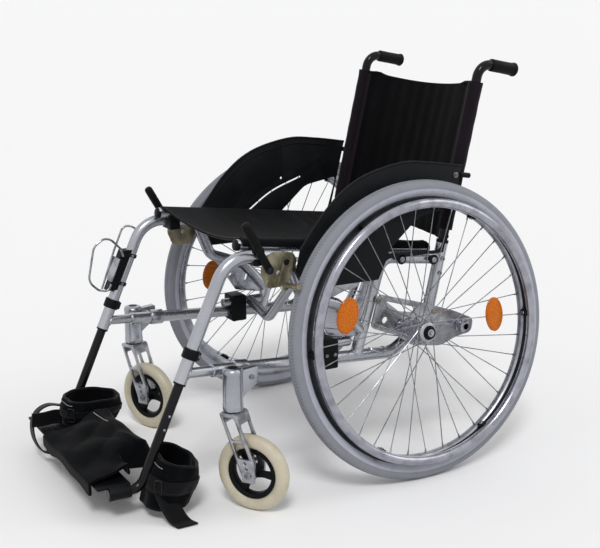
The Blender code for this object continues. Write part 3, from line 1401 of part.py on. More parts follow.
def build_brake(side, name, mats, frame):
    """The lever and the shoe, each on its own hinge."""
    lever = body(name("lever_hinge"), Matrix.Translation(side_point(side, *lever_pivot())), frame)
    part(name("brake_lever"), brake_lever(side), mats["plastic"], lever)
    shoe = body(name("shoe_hinge"), Matrix.Translation(side_point(side, *shoe_pivot())), frame)
    part(name("brake_shoe"), brake_shoe(side), mats["steel"], shoe)


def build_wheel(side, name, mats, frame):
    """The rear wheel, its quick-release axle and button."""
    place = wheel_matrix(side)
    axle = body(name("axle_slide"), place, frame)
    part(name("axle_pin"), axle_pin(), mats["steel"], axle, local=True)
    button = body(name("button_slide"), place, axle)
    part(name("release_button"), release_button(), mats["plastic"], button, local=True)
    wheel = body(name("wheel_spin"), place, axle)
    part(name("rear_tyre"), rear_tyre(), mats["grey_tyre"], wheel, local=True)
    part(name("rear_rim"), rear_rim(), mats["alloy"], wheel, local=True)
    part(name("rear_hub"), rear_hub(), mats["alloy"], wheel, local=True)
    part(name("push_rim"), push_rim(), mats["alloy"], wheel, local=True)
    for letter, angle in zip("ab", REFLECTOR_ANGLES):
        part(name(f"reflector_{letter}"), reflector(angle), mats["orange"], wheel, local=True)


def build_caster(side, name, mats, frame):
    """The swivelling fork with its wheel."""
    yaw = CASTER_YAW_LEFT if side > 0 else CASTER_YAW_RIGHT
    turn = Matrix.Rotation(yaw - math.pi / 2.0, 4, "Z")
    place = Matrix.Translation((side * SWIVEL_X, SWIVEL_Y, 0.0)) @ turn
    swivel = body(name("caster_swivel"), place, frame)
    part(name("caster_fork"), caster_fork(), mats["alloy"], swivel, local=True)
    axle_height = Matrix.Translation((0.0, CASTER_TRAIL, caster_height()))
    part(name("caster_axle"), moved(caster_axle(), axle_height), mats["steel"], swivel, local=True)
    spin = body(name("caster_spin"), place @ axle_height, swivel)
    part(name("caster_tyre"), caster_tyre(), mats["cream_tyre"], spin, local=True)
    part(name("caster_rim"), caster_rim(), mats["plastic"], spin, local=True)


def main():
    """Build every body and hang the finished pieces on it."""
    clear_scene()
    mats = make_materials()
    chair = body("chair", Matrix.Identity(4))
    left = body("frame_left", Matrix.Identity(4), chair)
    foot_left = build_side(1, mats, left)
    pivot_left = Vector((PIVOT_X, 0.0, PIVOT_Z))
    centre = Vector((0.0, 0.0, BRACE_CROSS_Z))
    pivot_right = Vector((-PIVOT_X, 0.0, PIVOT_Z))
    body_a = body("brace_a_hinge", Matrix.Translation(pivot_left), left)
    part("brace_a", brace(1, BRACE_A_Y), mats["silver"], body_a)
    part("brace_bolt", brace_bolt(), mats["steel"], body_a)
    body_b = body("brace_b_hinge", Matrix.Translation(centre), body_a)
    part("brace_b", brace(-1, BRACE_A_Y - BRACE_SPACING), mats["silver"], body_b)
    right = body("frame_right", Matrix.Translation(pivot_right), body_b)
    build_side(-1, mats, right)
    part("seat_sling", seat_sling(), mats["nylon"], body_a)
    part("back_sling", back_sling(), mats["nylon"], left)
    plate = body("footplate_hinge", Matrix.Translation((FRAME_X, 0.0, FOOT_LEVEL)), foot_left)
    part("footplate", footplate(), mats["plastic"], plate)
    part("foot_cuff_left", foot_cuff_left(), mats["webbing"], foot_left)
    part("foot_cuff_right", foot_cuff_right(), mats["webbing"], plate)
    part("wire_rack", wire_rack(), mats["chrome"], right)
    part("rack_clamp", rack_clamp(), mats["plastic"], right)
    bpy.context.view_layer.update()
    solids = [found for found in bpy.data.objects if found.type == "MESH"]
    reaches = [(solid.matrix_world @ vert.co).y for solid in solids for vert in solid.data.vertices]
    chair[0].location.y = -(min(reaches) + max(reaches)) / 2.0
    bpy.context.view_layer.update()


main()
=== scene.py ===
"""Looks of a folding manual wheelchair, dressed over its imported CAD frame.

Lengths are metres. Shapes are drawn in the frame of the rear axle, where Y is
measured from the axle, and each finished piece is then moved to the frame's own
place. The left side is the sitter's left, at positive X, and the chair faces -Y.
"""

import logging
import math
from collections.abc import Callable, Iterator, Sequence
from contextlib import contextmanager
from dataclasses import dataclass, field
from enum import Enum
from functools import partial

import bmesh
import bpy
from mathutils import Matrix, Vector

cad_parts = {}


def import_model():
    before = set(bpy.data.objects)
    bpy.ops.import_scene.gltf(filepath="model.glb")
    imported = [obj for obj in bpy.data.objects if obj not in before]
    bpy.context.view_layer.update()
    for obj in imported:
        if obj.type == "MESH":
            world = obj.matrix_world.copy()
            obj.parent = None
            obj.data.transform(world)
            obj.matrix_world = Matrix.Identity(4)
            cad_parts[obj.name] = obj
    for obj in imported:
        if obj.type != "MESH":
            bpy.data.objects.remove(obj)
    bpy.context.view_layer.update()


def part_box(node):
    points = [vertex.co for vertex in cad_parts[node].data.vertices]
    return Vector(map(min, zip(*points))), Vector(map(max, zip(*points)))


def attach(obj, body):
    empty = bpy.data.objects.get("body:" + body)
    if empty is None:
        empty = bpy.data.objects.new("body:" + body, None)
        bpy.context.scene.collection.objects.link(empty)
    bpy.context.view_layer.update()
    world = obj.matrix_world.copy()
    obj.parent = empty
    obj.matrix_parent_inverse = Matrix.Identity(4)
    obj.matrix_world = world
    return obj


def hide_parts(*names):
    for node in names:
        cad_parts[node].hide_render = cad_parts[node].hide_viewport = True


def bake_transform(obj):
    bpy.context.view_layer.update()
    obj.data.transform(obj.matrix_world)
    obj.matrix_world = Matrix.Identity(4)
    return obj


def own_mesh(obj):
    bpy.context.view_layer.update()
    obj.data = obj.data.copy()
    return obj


LOG = logging.getLogger("wheelchair")
FULL_TURN = 2.0 * math.pi
# How far a cutting tool stands out of the plate that it cuts
PAST = 0.02
# A Mix node's settings and output for colours
BLEND = {"data_type": "RGBA", "out": "Result"}

Pair = tuple[float, float]
Triple = tuple[float, float, float]
Piece = bpy.types.Object
Spot = Vector | Triple
Inputs = dict[str | int, object]
NodeMaker = Callable[..., bpy.types.NodeSocket]

OUT: Triple = (1, 0, 0)
IN: Triple = (-1, 0, 0)
UP: Triple = (0, 0, 1)
DOWN: Triple = (0, 0, -1)


class Side(Enum):
    """The two sides of the chair, by the sign of X."""

    LEFT = 1
    RIGHT = -1

    @property
    def word(self) -> str:
        """The side as it stands in the names of nodes and pieces."""
        return self.name.lower()


class Head(Enum):
    """The bolt heads on the chair."""

    HEX = "hex"
    SOCKET = "socket"
    ROUND = "round"


# Selecting and shaping


def only(*pieces: Piece) -> None:
    """Select these objects alone, the first of them active."""
    bpy.ops.object.select_all(action="DESELECT")
    for piece in pieces:
        piece.select_set(True)
    bpy.context.view_layer.objects.active = pieces[0]


@contextmanager
def editing(piece: Piece) -> Iterator[None]:
    """Edit one piece with all of it selected.

    Args:
        piece: The mesh to edit.
    """
    only(piece)
    bpy.ops.object.mode_set(mode="EDIT")
    bpy.ops.mesh.select_mode(type="VERT")
    bpy.ops.mesh.select_all(action="SELECT")
    try:
        yield
    finally:
        bpy.ops.object.mode_set(mode="OBJECT")


def pick(piece: Piece, kind: str, test: Callable[..., bool]) -> None:
    """Select the elements that pass a test, in edit mode.

    Args:
        piece: The mesh in edit mode.
        kind: VERT or FACE.
        test: Takes a bmesh element and says whether it is wanted.
    """
    bpy.ops.mesh.select_mode(type=kind)
    bpy.ops.mesh.select_all(action="DESELECT")
    shape = bmesh.from_edit_mesh(piece.data)
    for element in shape.verts if kind == "VERT" else shape.faces:
        if test(element):
            element.select_set(True)
    shape.select_flush_mode()
    bmesh.update_edit_mesh(piece.data)


def drawn(points: Sequence[Spot], closed: bool = False) -> Piece:
    """Draw a line of edges by extruding one vertex from point to point.

    Args:
        points: The line's points.
        closed: Whether the last point joins the first.

    Returns:
        The new wire mesh.
    """
    bpy.ops.object.select_all(action="DESELECT")
    bpy.ops.mesh.primitive_plane_add(size=0.01)
    piece = bpy.context.object
    with editing(piece):
        bpy.ops.mesh.merge(type="CENTER")
        bpy.ops.transform.translate(value=tuple(points[0]))
        for before, after in zip(points, points[1:]):
            step = Vector(after) - Vector(before)
            bpy.ops.mesh.extrude_region_move(TRANSFORM_OT_translate={"value": tuple(step)})
        if closed:
            pick(piece, "VERT", lambda vert: len(vert.link_edges) == 1)
            bpy.ops.mesh.edge_face_add()
    return piece


def sound(piece: Piece, smooth: float = 40.0) -> Piece:
    """Weld a piece's seams, point its faces outwards and shade it by angle.

    Args:
        piece: The mesh to tidy.
        smooth: Largest angle between faces, in degrees, that still shades smoothly.

    Returns:
        The same piece.
    """
    with editing(piece):
        bpy.ops.mesh.remove_doubles(threshold=0.000002)
        bpy.ops.mesh.normals_make_consistent(inside=False)
    only(piece)
    bpy.ops.object.shade_smooth_by_angle(angle=math.radians(smooth))
    return piece


def applied(piece: Piece, kind: str, **settings: object) -> Piece:
    """Add a modifier with its settings and apply it.

    Args:
        piece: The mesh to change.
        kind: The modifier's type.
        **settings: The modifier's properties.

    Returns:
        The same piece.
    """
    modifier = piece.modifiers.new(kind.lower(), kind)
    for key, value in settings.items():
        setattr(modifier, key, value)
    only(piece)
    bpy.ops.object.modifier_apply(modifier=modifier.name)
    return piece


def eased(piece: Piece, width: float, segments: int = 2, angle: float = 40.0) -> Piece:
    """Break the sharp edges of a piece.

    Args:
        piece: The mesh to bevel.
        width: Width of the broken edge.
        segments: Steps across it.
        angle: Smallest angle between faces, in degrees, that counts as an edge.

    Returns:
        The same piece.
    """
    return sound(
        applied(
            piece, "BEVEL", width=width, segments=segments, limit_method="ANGLE",
            angle_limit=math.radians(angle),
        )
    )


def cut(piece: Piece, *tools: Piece) -> Piece:
    """Cut the tools out of a piece and remove them.

    Args:
        piece: The mesh that is cut.
        *tools: Closed meshes that are taken away from it.

    Returns:
        The same piece.
    """
    for tool in tools:
        applied(piece, "BOOLEAN", operation="DIFFERENCE", solver="EXACT", object=tool)
        bpy.data.objects.remove(tool, do_unlink=True)
    return piece


def placed(piece: Piece, matrix: Matrix) -> Piece:
    """Move a piece by a matrix and apply its place to the mesh."""
    piece.matrix_world = matrix
    only(piece)
    bpy.ops.object.transform_apply(location=True, rotation=True, scale=True)
    return piece


def dressed(piece: Piece, finish: bpy.types.Material) -> Piece:
    """Give a piece one finish."""
    piece.data.materials.clear()
    piece.data.materials.append(finish)
    return piece


def joined(*pieces: Piece) -> Piece:
    """Make one object of several."""
    only(*pieces)
    if len(pieces) > 1:
        bpy.ops.object.join()
    return bpy.context.object


def copied(piece: Piece, matrix: Matrix) -> Piece:
    """A copy of a piece with its own mesh, moved by a matrix."""
    only(piece)
    bpy.ops.object.duplicate(linked=False)
    return placed(bpy.context.object, matrix)


def mirrored(piece: Piece) -> Piece:
    """A mirror image of a left piece, for the right side."""
    twin = copied(piece, Matrix.Scale(-1.0, 4, Vector((1.0, 0.0, 0.0))))
    with editing(twin):
        bpy.ops.mesh.normals_make_consistent(inside=False)
    return twin


# Solids


def bent(points: Sequence[Spot], bends: Sequence[float], steps: int = 9) -> list[Vector]:
    """Points of a line whose corners are arcs.

    Args:
        points: The corners, with the two ends.
        bends: Radius at each inner corner.
        steps: Straight steps in each arc.

    Returns:
        The rounded line.
    """
    spots = [Vector(point) for point in points]
    line = [spots[0]]
    for before, corner, after, bend in zip(spots, spots[1:], spots[2:], bends):
        back = (before - corner).normalized()
        ahead = (after - corner).normalized()
        half = back.angle(ahead) / 2.0
        centre = corner + (back + ahead).normalized() * (bend / math.sin(half))
        start = (corner + back * (bend / math.tan(half)) - centre).normalized()
        end = (corner + ahead * (bend / math.tan(half)) - centre).normalized()
        line += [centre + start.slerp(end, step / steps) * bend for step in range(steps + 1)]
    return [*line, spots[-1]]


def flowing(points: Sequence[Spot], steps: int = 6) -> list[Vector]:
    """Points of a smooth curve through the given ones.

    Args:
        points: The points that the curve passes.
        steps: Steps from one to the next.

    Returns:
        The curve's points.
    """
    spots = [Vector(point) for point in points]
    spots = [2.0 * spots[0] - spots[1], *spots, 2.0 * spots[-1] - spots[-2]]
    line = []
    for a, b, c, d in zip(spots, spots[1:], spots[2:], spots[3:]):
        for step in range(steps):
            t = step / steps
            square = (2.0 * a - 5.0 * b + 4.0 * c - d) * t**2
            cube = (3.0 * b - a - 3.0 * c + d) * t**3
            line.append(0.5 * (2.0 * b + (c - a) * t + square + cube))
    return [*line, spots[-2]]


def rod(points: Sequence[Spot], radius: float, sides: int = 20, closed: bool = False) -> Piece:
    """A round bar along a line.

    Args:
        points: The line's points.
        radius: Radius of the bar.
        sides: Faces round it, an even number from 6.
        closed: Whether the bar runs round into itself.

    Returns:
        The new mesh.
    """
    only(drawn(points, closed))
    bpy.ops.object.convert(target="CURVE")
    line = bpy.context.object.data
    line.bevel_depth = radius
    line.bevel_resolution = sides // 2 - 2
    line.use_fill_caps = not closed
    bpy.ops.object.convert(target="MESH")
    return sound(bpy.context.object)


def both_ways(points: Sequence[Pair]) -> list[Pair]:
    """Points followed by their mirror image in reverse."""
    return [*points, *[(-across, up) for across, up in points[::-1]]]


def turned(profile: Sequence[Pair], steps: int = 32, closed: bool = False) -> Piece:
    """A body of revolution about X.

    Args:
        profile: Its section as (along, radius), on the axis at both ends unless closed.
        steps: Faces round it.
        closed: Whether the section is a loop, as a tyre's is.

    Returns:
        The new mesh.
    """
    piece = drawn([(along, 0.0, radius) for along, radius in profile], closed)
    with editing(piece):
        bpy.ops.mesh.spin(steps=steps, angle=FULL_TURN, center=(0, 0, 0), axis=(1, 0, 0))
    return sound(piece)


def sheet_metal(
    outline: Sequence[Pair], low: float, high: float, corner: float = 0.0, steps: int = 4
) -> Piece:
    """A plate across X, cut to an outline.

    Args:
        outline: Its corners as (y, z).
        low: The X of one face.
        high: The X of the other.
        corner: Radius of the corners.
        steps: Steps round each corner.

    Returns:
        The new mesh.
    """
    piece = drawn([(low, y, z) for y, z in outline], closed=True)
    with editing(piece):
        bpy.ops.mesh.edge_face_add()
        if corner > 0.0:
            bpy.ops.mesh.bevel(affect="VERTICES", offset=corner, segments=steps, clamp_overlap=True)
            bpy.ops.mesh.select_all(action="SELECT")
        bpy.ops.mesh.extrude_region_move(TRANSFORM_OT_translate={"value": (high - low, 0, 0)})
        bpy.ops.mesh.select_all(action="SELECT")
        bpy.ops.mesh.normals_make_consistent(inside=False)
    return piece


def brick(low: Spot, high: Spot, edge: float, segments: int = 3) -> Piece:
    """A block between two corners with rounded edges.

    Args:
        low: Its lowest corner.
        high: Its highest corner.
        edge: Radius of the edges.
        segments: Steps round each edge.

    Returns:
        The new mesh.
    """
    low, high = Vector(low), Vector(high)
    bpy.ops.object.select_all(action="DESELECT")
    bpy.ops.mesh.primitive_cube_add(size=1.0, location=(low + high) / 2.0, scale=high - low)
    piece = bpy.context.object
    placed(piece, piece.matrix_world.copy())
    with editing(piece):
        bpy.ops.mesh.bevel(affect="EDGES", offset=edge, segments=segments)
    return sound(piece)


def aim(start: Spot, direction: Spot) -> Matrix:
    """The move that puts the origin at a point and X along a direction."""
    turn = Vector(direction).to_track_quat("X", "Z").to_matrix().to_4x4()
    return Matrix.Translation(Vector(start)) @ turn


def bar(start: Spot, end: Spot, radius: float, steps: int = 24, edge: float = 0.0008) -> Piece:
    """A straight turned bar with broken ends.

    Args:
        start: Middle of one end.
        end: Middle of the other.
        radius: Radius of the bar.
        steps: Faces round it.
        edge: Size of the broken edge at both ends.

    Returns:
        The new mesh.
    """
    length = (Vector(end) - Vector(start)).length
    profile = [(0, 0), (0, radius - edge), (edge, radius), (length - edge, radius)]
    piece = turned([*profile, (length, radius - edge), (length, 0)], steps)
    return placed(piece, aim(start, Vector(end) - Vector(start)))


def collar(start: Spot, end: Spot, inner: float, outer: float, steps: int = 32) -> Piece:
    """A sleeve round a straight bar, with rounded rims.

    Args:
        start: Middle of one end.
        end: Middle of the other.
        inner: Radius of its bore.
        outer: Radius outside.
        steps: Faces round it.

    Returns:
        The new mesh.
    """
    length = (Vector(end) - Vector(start)).length
    edge = min((outer - inner) * 0.35, length * 0.2)
    profile = [(0, inner), (0, outer - edge), (edge * 0.3, outer - edge * 0.3), (edge, outer)]
    profile += [(length - along, radius) for along, radius in profile[::-1]]
    piece = turned(profile, steps, closed=True)
    return placed(piece, aim(start, Vector(end) - Vector(start)))


def bolt(head: Head, seat: Spot, out: Spot, radius: float, height: float) -> Piece:
    """A bolt head that stands on a surface.

    Args:
        head: Its kind.
        seat: Middle of the surface under it.
        out: The way it points.
        radius: Radius of the head.
        height: How far it stands out.

    Returns:
        The new mesh.
    """
    sides = 6 if head is Head.HEX else 20
    bpy.ops.object.select_all(action="DESELECT")
    bpy.ops.mesh.primitive_cylinder_add(
        vertices=sides, radius=radius, depth=height, location=(0, 0, height / 2.0)
    )
    piece = bpy.context.object
    placed(piece, piece.matrix_world.copy())
    with editing(piece):
        pick(piece, "FACE", lambda face: face.normal.z > 0.9)
        if head is Head.HEX:
            bpy.ops.mesh.bevel(affect="EDGES", offset=radius * 0.14, segments=2)
        elif head is Head.SOCKET:
            bpy.ops.mesh.bevel(affect="EDGES", offset=radius * 0.12, segments=2)
            pick(piece, "FACE", lambda face: face.normal.z > 0.99 and len(face.verts) > 8)
            bpy.ops.mesh.inset(thickness=radius * 0.42, depth=0.0)
            drop = {"value": (0, 0, -height * 0.55)}
            bpy.ops.mesh.extrude_region_move(TRANSFORM_OT_translate=drop)
        else:
            bpy.ops.mesh.bevel(affect="EDGES", offset=height * 0.8, segments=4)
    turn = Vector(out).to_track_quat("Z", "Y").to_matrix().to_4x4()
    return sound(placed(piece, Matrix.Translation(Vector(seat)) @ turn), 30.0)


def weld(
    run_at: Spot, run: Spot, run_r: float, branch_at: Spot, branch: Spot, branch_r: float
) -> Piece:
    """The bead where a branch tube meets a run tube.

    Args:
        run_at: A point on the run tube's centre line.
        run: The way it runs.
        run_r: Its radius.
        branch_at: A point on the branch tube's centre line.
        branch: The way out along the branch.
        branch_r: Its radius.

    Returns:
        The new mesh.
    """
    run_at, run = Vector(run_at), Vector(run).normalized()
    branch_at, branch = Vector(branch_at), Vector(branch).normalized()
    across = branch.cross(run).normalized()
    level = across.cross(branch)
    reach = min(branch_r, run_r * 0.98)
    points = []
    for step in range(32):
        angle = FULL_TURN * step / 32
        start = branch_at + (across * math.cos(angle) + level * math.sin(angle)) * reach
        gap = start - run_at
        off = gap - run * gap.dot(run)
        slope = branch - run * branch.dot(run)
        a, b, c = slope.dot(slope), 2.0 * off.dot(slope), off.dot(off) - run_r**2
        root = math.sqrt(max(b * b - 4.0 * a * c, 0.0))
        points.append(start + branch * ((-b + root) / (2.0 * a)))
    return rod(points, 0.0017, 8, closed=True)


def cloth(
    cells: tuple[int, int], size: Pair, lie: Callable[[float, float], Vector], thick: float
) -> Piece:
    """A sheet of cloth laid out over a surface, with its UV map in metres.

    Args:
        cells: Its cells across and along.
        size: Its flat width and length.
        lie: Gives the place of a point by its shares of the width and the length.
        thick: Thickness of the cloth.

    Returns:
        The new mesh.
    """
    bpy.ops.object.select_all(action="DESELECT")
    bpy.ops.mesh.primitive_grid_add(x_subdivisions=cells[0], y_subdivisions=cells[1], size=1.0)
    piece = bpy.context.object
    for spot in piece.data.uv_layers.active.data:
        spot.uv = (spot.uv[0] * size[0], spot.uv[1] * size[1])
    for vert in piece.data.vertices:
        vert.co = lie(vert.co.x + 0.5, vert.co.y + 0.5)
    applied(piece, "SOLIDIFY", thickness=thick, offset=0.0)
    return sound(piece, 60.0)


def step_of(line: Sequence[object], share: float) -> tuple[int, float]:
    """The step of a line that a share of the way falls in, and how far into it."""
    at = share * (len(line) - 1)
    low = min(int(at), len(line) - 2)
    return low, at - low


def ribbon(line: Sequence[Vector], across: Spot, width: float, thick: float) -> Piece:
    """A flat strap along a line.

    Args:
        line: Points of its middle.
        across: The way its width lies.
        width: Its width.
        thick: Its thickness.

    Returns:
        The new mesh.
    """
    side = Vector(across).normalized() * width
    length = sum((b - a).length for a, b in zip(line, line[1:]))

    def lie(u: float, v: float) -> Vector:
        """Place of a point of the strap."""
        low, share = step_of(line, v)
        return line[low].lerp(line[low + 1], share) + side * (u - 0.5)

    return cloth((6, 2 * len(line)), (width, length), lie, thick)


# Finishes


def linear(colour: str) -> tuple[float, float, float, float]:
    """An sRGB hex colour as the linear values that a shader takes."""
    values = [int(colour[i : i + 2], 16) / 255.0 for i in (0, 2, 4)]
    red, green, blue = (v / 12.92 if v <= 0.04045 else ((v + 0.055) / 1.055) ** 2.4 for v in values)
    return (red, green, blue, 1.0)


def per_metre(millimetres: float) -> float:
    """How often a pattern of this pitch repeats in one metre."""
    return 1000.0 / millimetres


def feed(node: bpy.types.Node, inputs: Inputs) -> None:
    """Set or link a node's inputs.

    Args:
        node: The node.
        inputs: What each input gets, a value or another node's output.
    """
    for key, value in inputs.items():
        if isinstance(value, bpy.types.NodeSocket):
            node.id_data.links.new(value, node.inputs[key])
        else:
            node.inputs[key].default_value = value


def add_node(
    tree: bpy.types.NodeTree, kind: str, inputs: Inputs | None = None, out: str | int = 0,
    **settings: object,
) -> bpy.types.NodeSocket:
    """Add a shader node with its settings and links.

    Args:
        tree: The node tree.
        kind: The node's type, without its leading ShaderNode.
        inputs: What each input gets, a value or another node's output.
        out: The output that is wanted.
        **settings: The node's properties.

    Returns:
        That output of the new node.
    """
    node = tree.nodes.new(f"ShaderNode{kind}")
    for key, value in settings.items():
        setattr(node, key, value)
    feed(node, inputs or {})
    return node.outputs[out]


@dataclass(frozen=True)
class Finish:
    """What every finish has: a name, a colour and how it shines."""

    name: str
    colour: str
    roughness: float
    metallic: float = 0.0
    specular: float = 0.5

    def made(self) -> bpy.types.Material:
        """Build the material."""
        material = bpy.data.materials.new(self.name)
        material.use_nodes = True
        shader = material.node_tree.nodes["Principled BSDF"]
        flat = {"Base Color": linear(self.colour), "Roughness": self.roughness}
        feed(shader, {**flat, "Metallic": self.metallic, "Specular IOR Level": self.specular})
        feed(shader, self.detail(partial(add_node, material.node_tree)))
        return material

    def detail(self, add: NodeMaker) -> Inputs:
        """What the shader gets beyond a flat colour, by its inputs."""
        return {}


@dataclass(frozen=True)
class Lacquer(Finish):
    """Sprayed lacquer on drawn tube: a fine orange peel, clouded tone and rubbed edges."""

    shade: str = "8A8D95"
    worn: str = "C0C2C6"
    peel: float = 0.08
    coat: float = 0.3

    def detail(self, add: NodeMaker) -> Inputs:
        """Draw the cloud, the flake, the peel and the wear."""
        place = add("TexCoord", out="Object")
        # Slow change of tone over 70 mm, as a sprayed coat varies along a tube
        drift = {"Scale": per_metre(70), "Detail": 4.0, "Roughness": 0.6}
        cloud = add("TexNoise", {"Vector": place, **drift})
        tone = add("MapRange", {"Value": cloud, "From Min": 0.38, "From Max": 0.68, "To Max": 0.6})
        base, shade = linear(self.colour), linear(self.shade)
        mixed = add("Mix", {"Factor": tone, "A": base, "B": shade}, **BLEND)
        # Flake and peel are below 1 mm; drawn at 2 mm so that they still show
        flake = add("TexNoise", {"Vector": place, "Scale": per_metre(2.0), "Detail": 2.0})
        corner = add("NewGeometry", out="Pointiness")
        edge = add("MapRange", {"Value": corner, "From Min": 0.54, "From Max": 0.62})
        chipped = add("Math", {0: edge, 1: cloud}, operation="MULTIPLY")
        shine = {"To Min": self.roughness - 0.04, "To Max": self.roughness + 0.06}
        return {
            "Base Color": add(
                "Mix", {"Factor": chipped, "A": mixed, "B": linear(self.worn)}, **BLEND
            ),
            "Roughness": add("MapRange", {"Value": flake, **shine}),
            "Normal": add("Bump", {"Height": flake, "Strength": self.peel, "Distance": 0.0002}),
            "Coat Weight": self.coat, "Coat Roughness": 0.12,
        }


@dataclass(frozen=True)
class Metal(Finish):
    """Bare or plated metal: fine tool marks and a slightly uneven sheen."""

    shade: str = "8A8C90"
    grain: Triple = (40.0, 40.0, 900.0)
    lines: float = 0.25

    def detail(self, add: NodeMaker) -> Inputs:
        """Draw the tool marks and the patches of duller metal."""
        place = add("TexCoord", out="Object")
        stretched = add("Mapping", {"Vector": place, "Scale": self.grain})
        brushed = add("TexNoise", {"Vector": stretched, "Scale": 1.0, "Detail": 3.0})
        # Handled metal dulls in patches about 25 mm across
        patch = add("TexNoise", {"Vector": place, "Scale": per_metre(25), "Detail": 3.0})
        dull = add("MapRange", {"Value": patch, "From Min": 0.42, "From Max": 0.7})
        uneven = add("Math", {0: brushed, 1: patch}, operation="ADD")
        shine = {
            "From Min": 0.6, "From Max": 1.4, "To Min": self.roughness * 0.6,
            "To Max": self.roughness * 1.6,
        }
        base, shade = linear(self.colour), linear(self.shade)
        return {
            "Base Color": add("Mix", {"Factor": dull, "A": base, "B": shade}, **BLEND),
            "Roughness": add("MapRange", {"Value": uneven, **shine}),
            "Normal": add("Bump", {"Height": brushed, "Strength": self.lines, "Distance": 0.0001}),
        }


@dataclass(frozen=True)
class Moulded(Finish):
    """Moulded plastic or rubber: spark-eroded grain, dust in it and paler edges, which are partly
    rubbed wear and partly a painted sheen.
    """

    dust_and_sheen: str = "3A3C42"
    grain: float = 1.6
    depth: float = 0.35

    def detail(self, add: NodeMaker) -> Inputs:
        """Draw the grain, the dust, and the paler edges of rubbed wear and painted sheen."""
        place = add("TexCoord", out="Object")
        pits = {"Vector": place, "Scale": per_metre(self.grain)}
        grain = add("TexVoronoi", pits, feature="SMOOTH_F1")
        stains = {"Scale": per_metre(38), "Detail": 6.0, "Roughness": 0.65}
        smear = add("TexNoise", {"Vector": place, **stains})
        settled = add(
            "MapRange", {"Value": smear, "From Min": 0.45, "From Max": 0.8, "To Max": 0.5}
        )
        base, dust_and_sheen = linear(self.colour), linear(self.dust_and_sheen)
        dusty = add("Mix", {"Factor": settled, "A": base, "B": dust_and_sheen}, **BLEND)
        # Edges are mixed towards the dust colour: partly rubbed wear, partly a painted sheen along
        # the edges
        corner = add("NewGeometry", out="Pointiness")
        edge = add(
            "MapRange", {"Value": corner, "From Min": 0.54, "From Max": 0.66, "To Max": 0.45}
        )
        shine = {
            "From Min": 0.3, "From Max": 0.7, "To Min": self.roughness - 0.08,
            "To Max": self.roughness + 0.12,
        }
        return {
            "Base Color": add("Mix", {"Factor": edge, "A": dusty, "B": dust_and_sheen}, **BLEND),
            "Roughness": add("MapRange", {"Value": smear, **shine}),
            "Normal": add("Bump", {"Height": grain, "Strength": self.depth, "Distance": 0.0003}),
        }


@dataclass(frozen=True)
class TyreRubber(Finish):
    """Non-marking grey tyre rubber: short tread blocks at the shoulders, darkened in the notches by
    painted shade, and a paler wall.
    """

    wall: str = "B2B4C0"
    groove_shade: str = "4E4F57"
    soil: str = "6E6C72"
    hub: Matrix = field(default_factory=lambda: Matrix.Identity(4))
    blocks: int = 300
    wall_r: float = 0.2865
    tread: Pair = (0.0035, 0.0098)

    def detail(self, add: NodeMaker) -> Inputs:
        """Draw the tread in the wheel's own coordinates."""
        place = {"Location": self.hub.to_translation(), "Rotation": self.hub.to_euler()}
        place["Vector"] = add("TexCoord", out="Object")
        wheel = add("Mapping", place, vector_type="TEXTURE")
        x, y, z = add("SeparateXYZ", {0: wheel}).node.outputs
        turn = add("Math", {0: z, 1: y}, operation="ARCTAN2")
        spoke = add("CombineXYZ", {"X": y, "Y": z})
        reach = add("VectorMath", {0: spoke}, "Value", operation="LENGTH")
        across = add("Math", {0: x}, operation="ABSOLUTE")
        # Notches 6.4 mm apart on both sides of the crown, drawn coarser than the real ones and
        # darkened with painted shade
        count = add("Math", {0: turn, 1: float(self.blocks)}, operation="MULTIPLY")
        slanted = add("Math", {0: across, 1: 700.0, 2: count}, operation="MULTIPLY_ADD")
        wave = add("Math", {0: slanted}, operation="SINE")
        gap = add("MapRange", {"Value": wave, "From Min": 0.3, "From Max": 0.7})
        near, far = self.tread
        shoulder = {0: across, 1: (near + far) / 2.0, 2: (far - near) / 2.0}
        band = add("Math", shoulder, operation="COMPARE")
        tread = add("Math", {0: band, 1: gap}, operation="MULTIPLY")
        stains = {"Scale": per_metre(30), "Detail": 6.0, "Roughness": 0.7}
        soil = add("TexNoise", {"Vector": wheel, **stains})
        step = {"From Min": self.wall_r, "From Max": self.wall_r - 0.0012, "To Max": 0.95}
        walls = add("MapRange", {"Value": reach, **step})
        base, wall = linear(self.colour), linear(self.wall)
        base = add("Mix", {"Factor": walls, "A": base, "B": wall}, **BLEND)
        dirty = add("MapRange", {"Value": soil, "From Min": 0.45, "From Max": 0.85, "To Max": 0.4})
        soiled = add("Mix", {"Factor": dirty, "A": base, "B": linear(self.soil)}, **BLEND)
        # The notches take the darker groove colour: painted shade in the tread's recesses
        dark = add("Math", {0: tread, 1: 0.5}, operation="MULTIPLY")
        height = add("Math", {0: soil, 1: 0.25, 2: tread}, operation="MULTIPLY_ADD")
        relief = {"Height": height, "Strength": 0.7, "Distance": 0.0006}
        return {
            "Base Color": add(
                "Mix", {"Factor": dark, "A": soiled, "B": linear(self.groove_shade)}, **BLEND
            ),
            "Normal": add("Bump", relief, invert=True),
        }


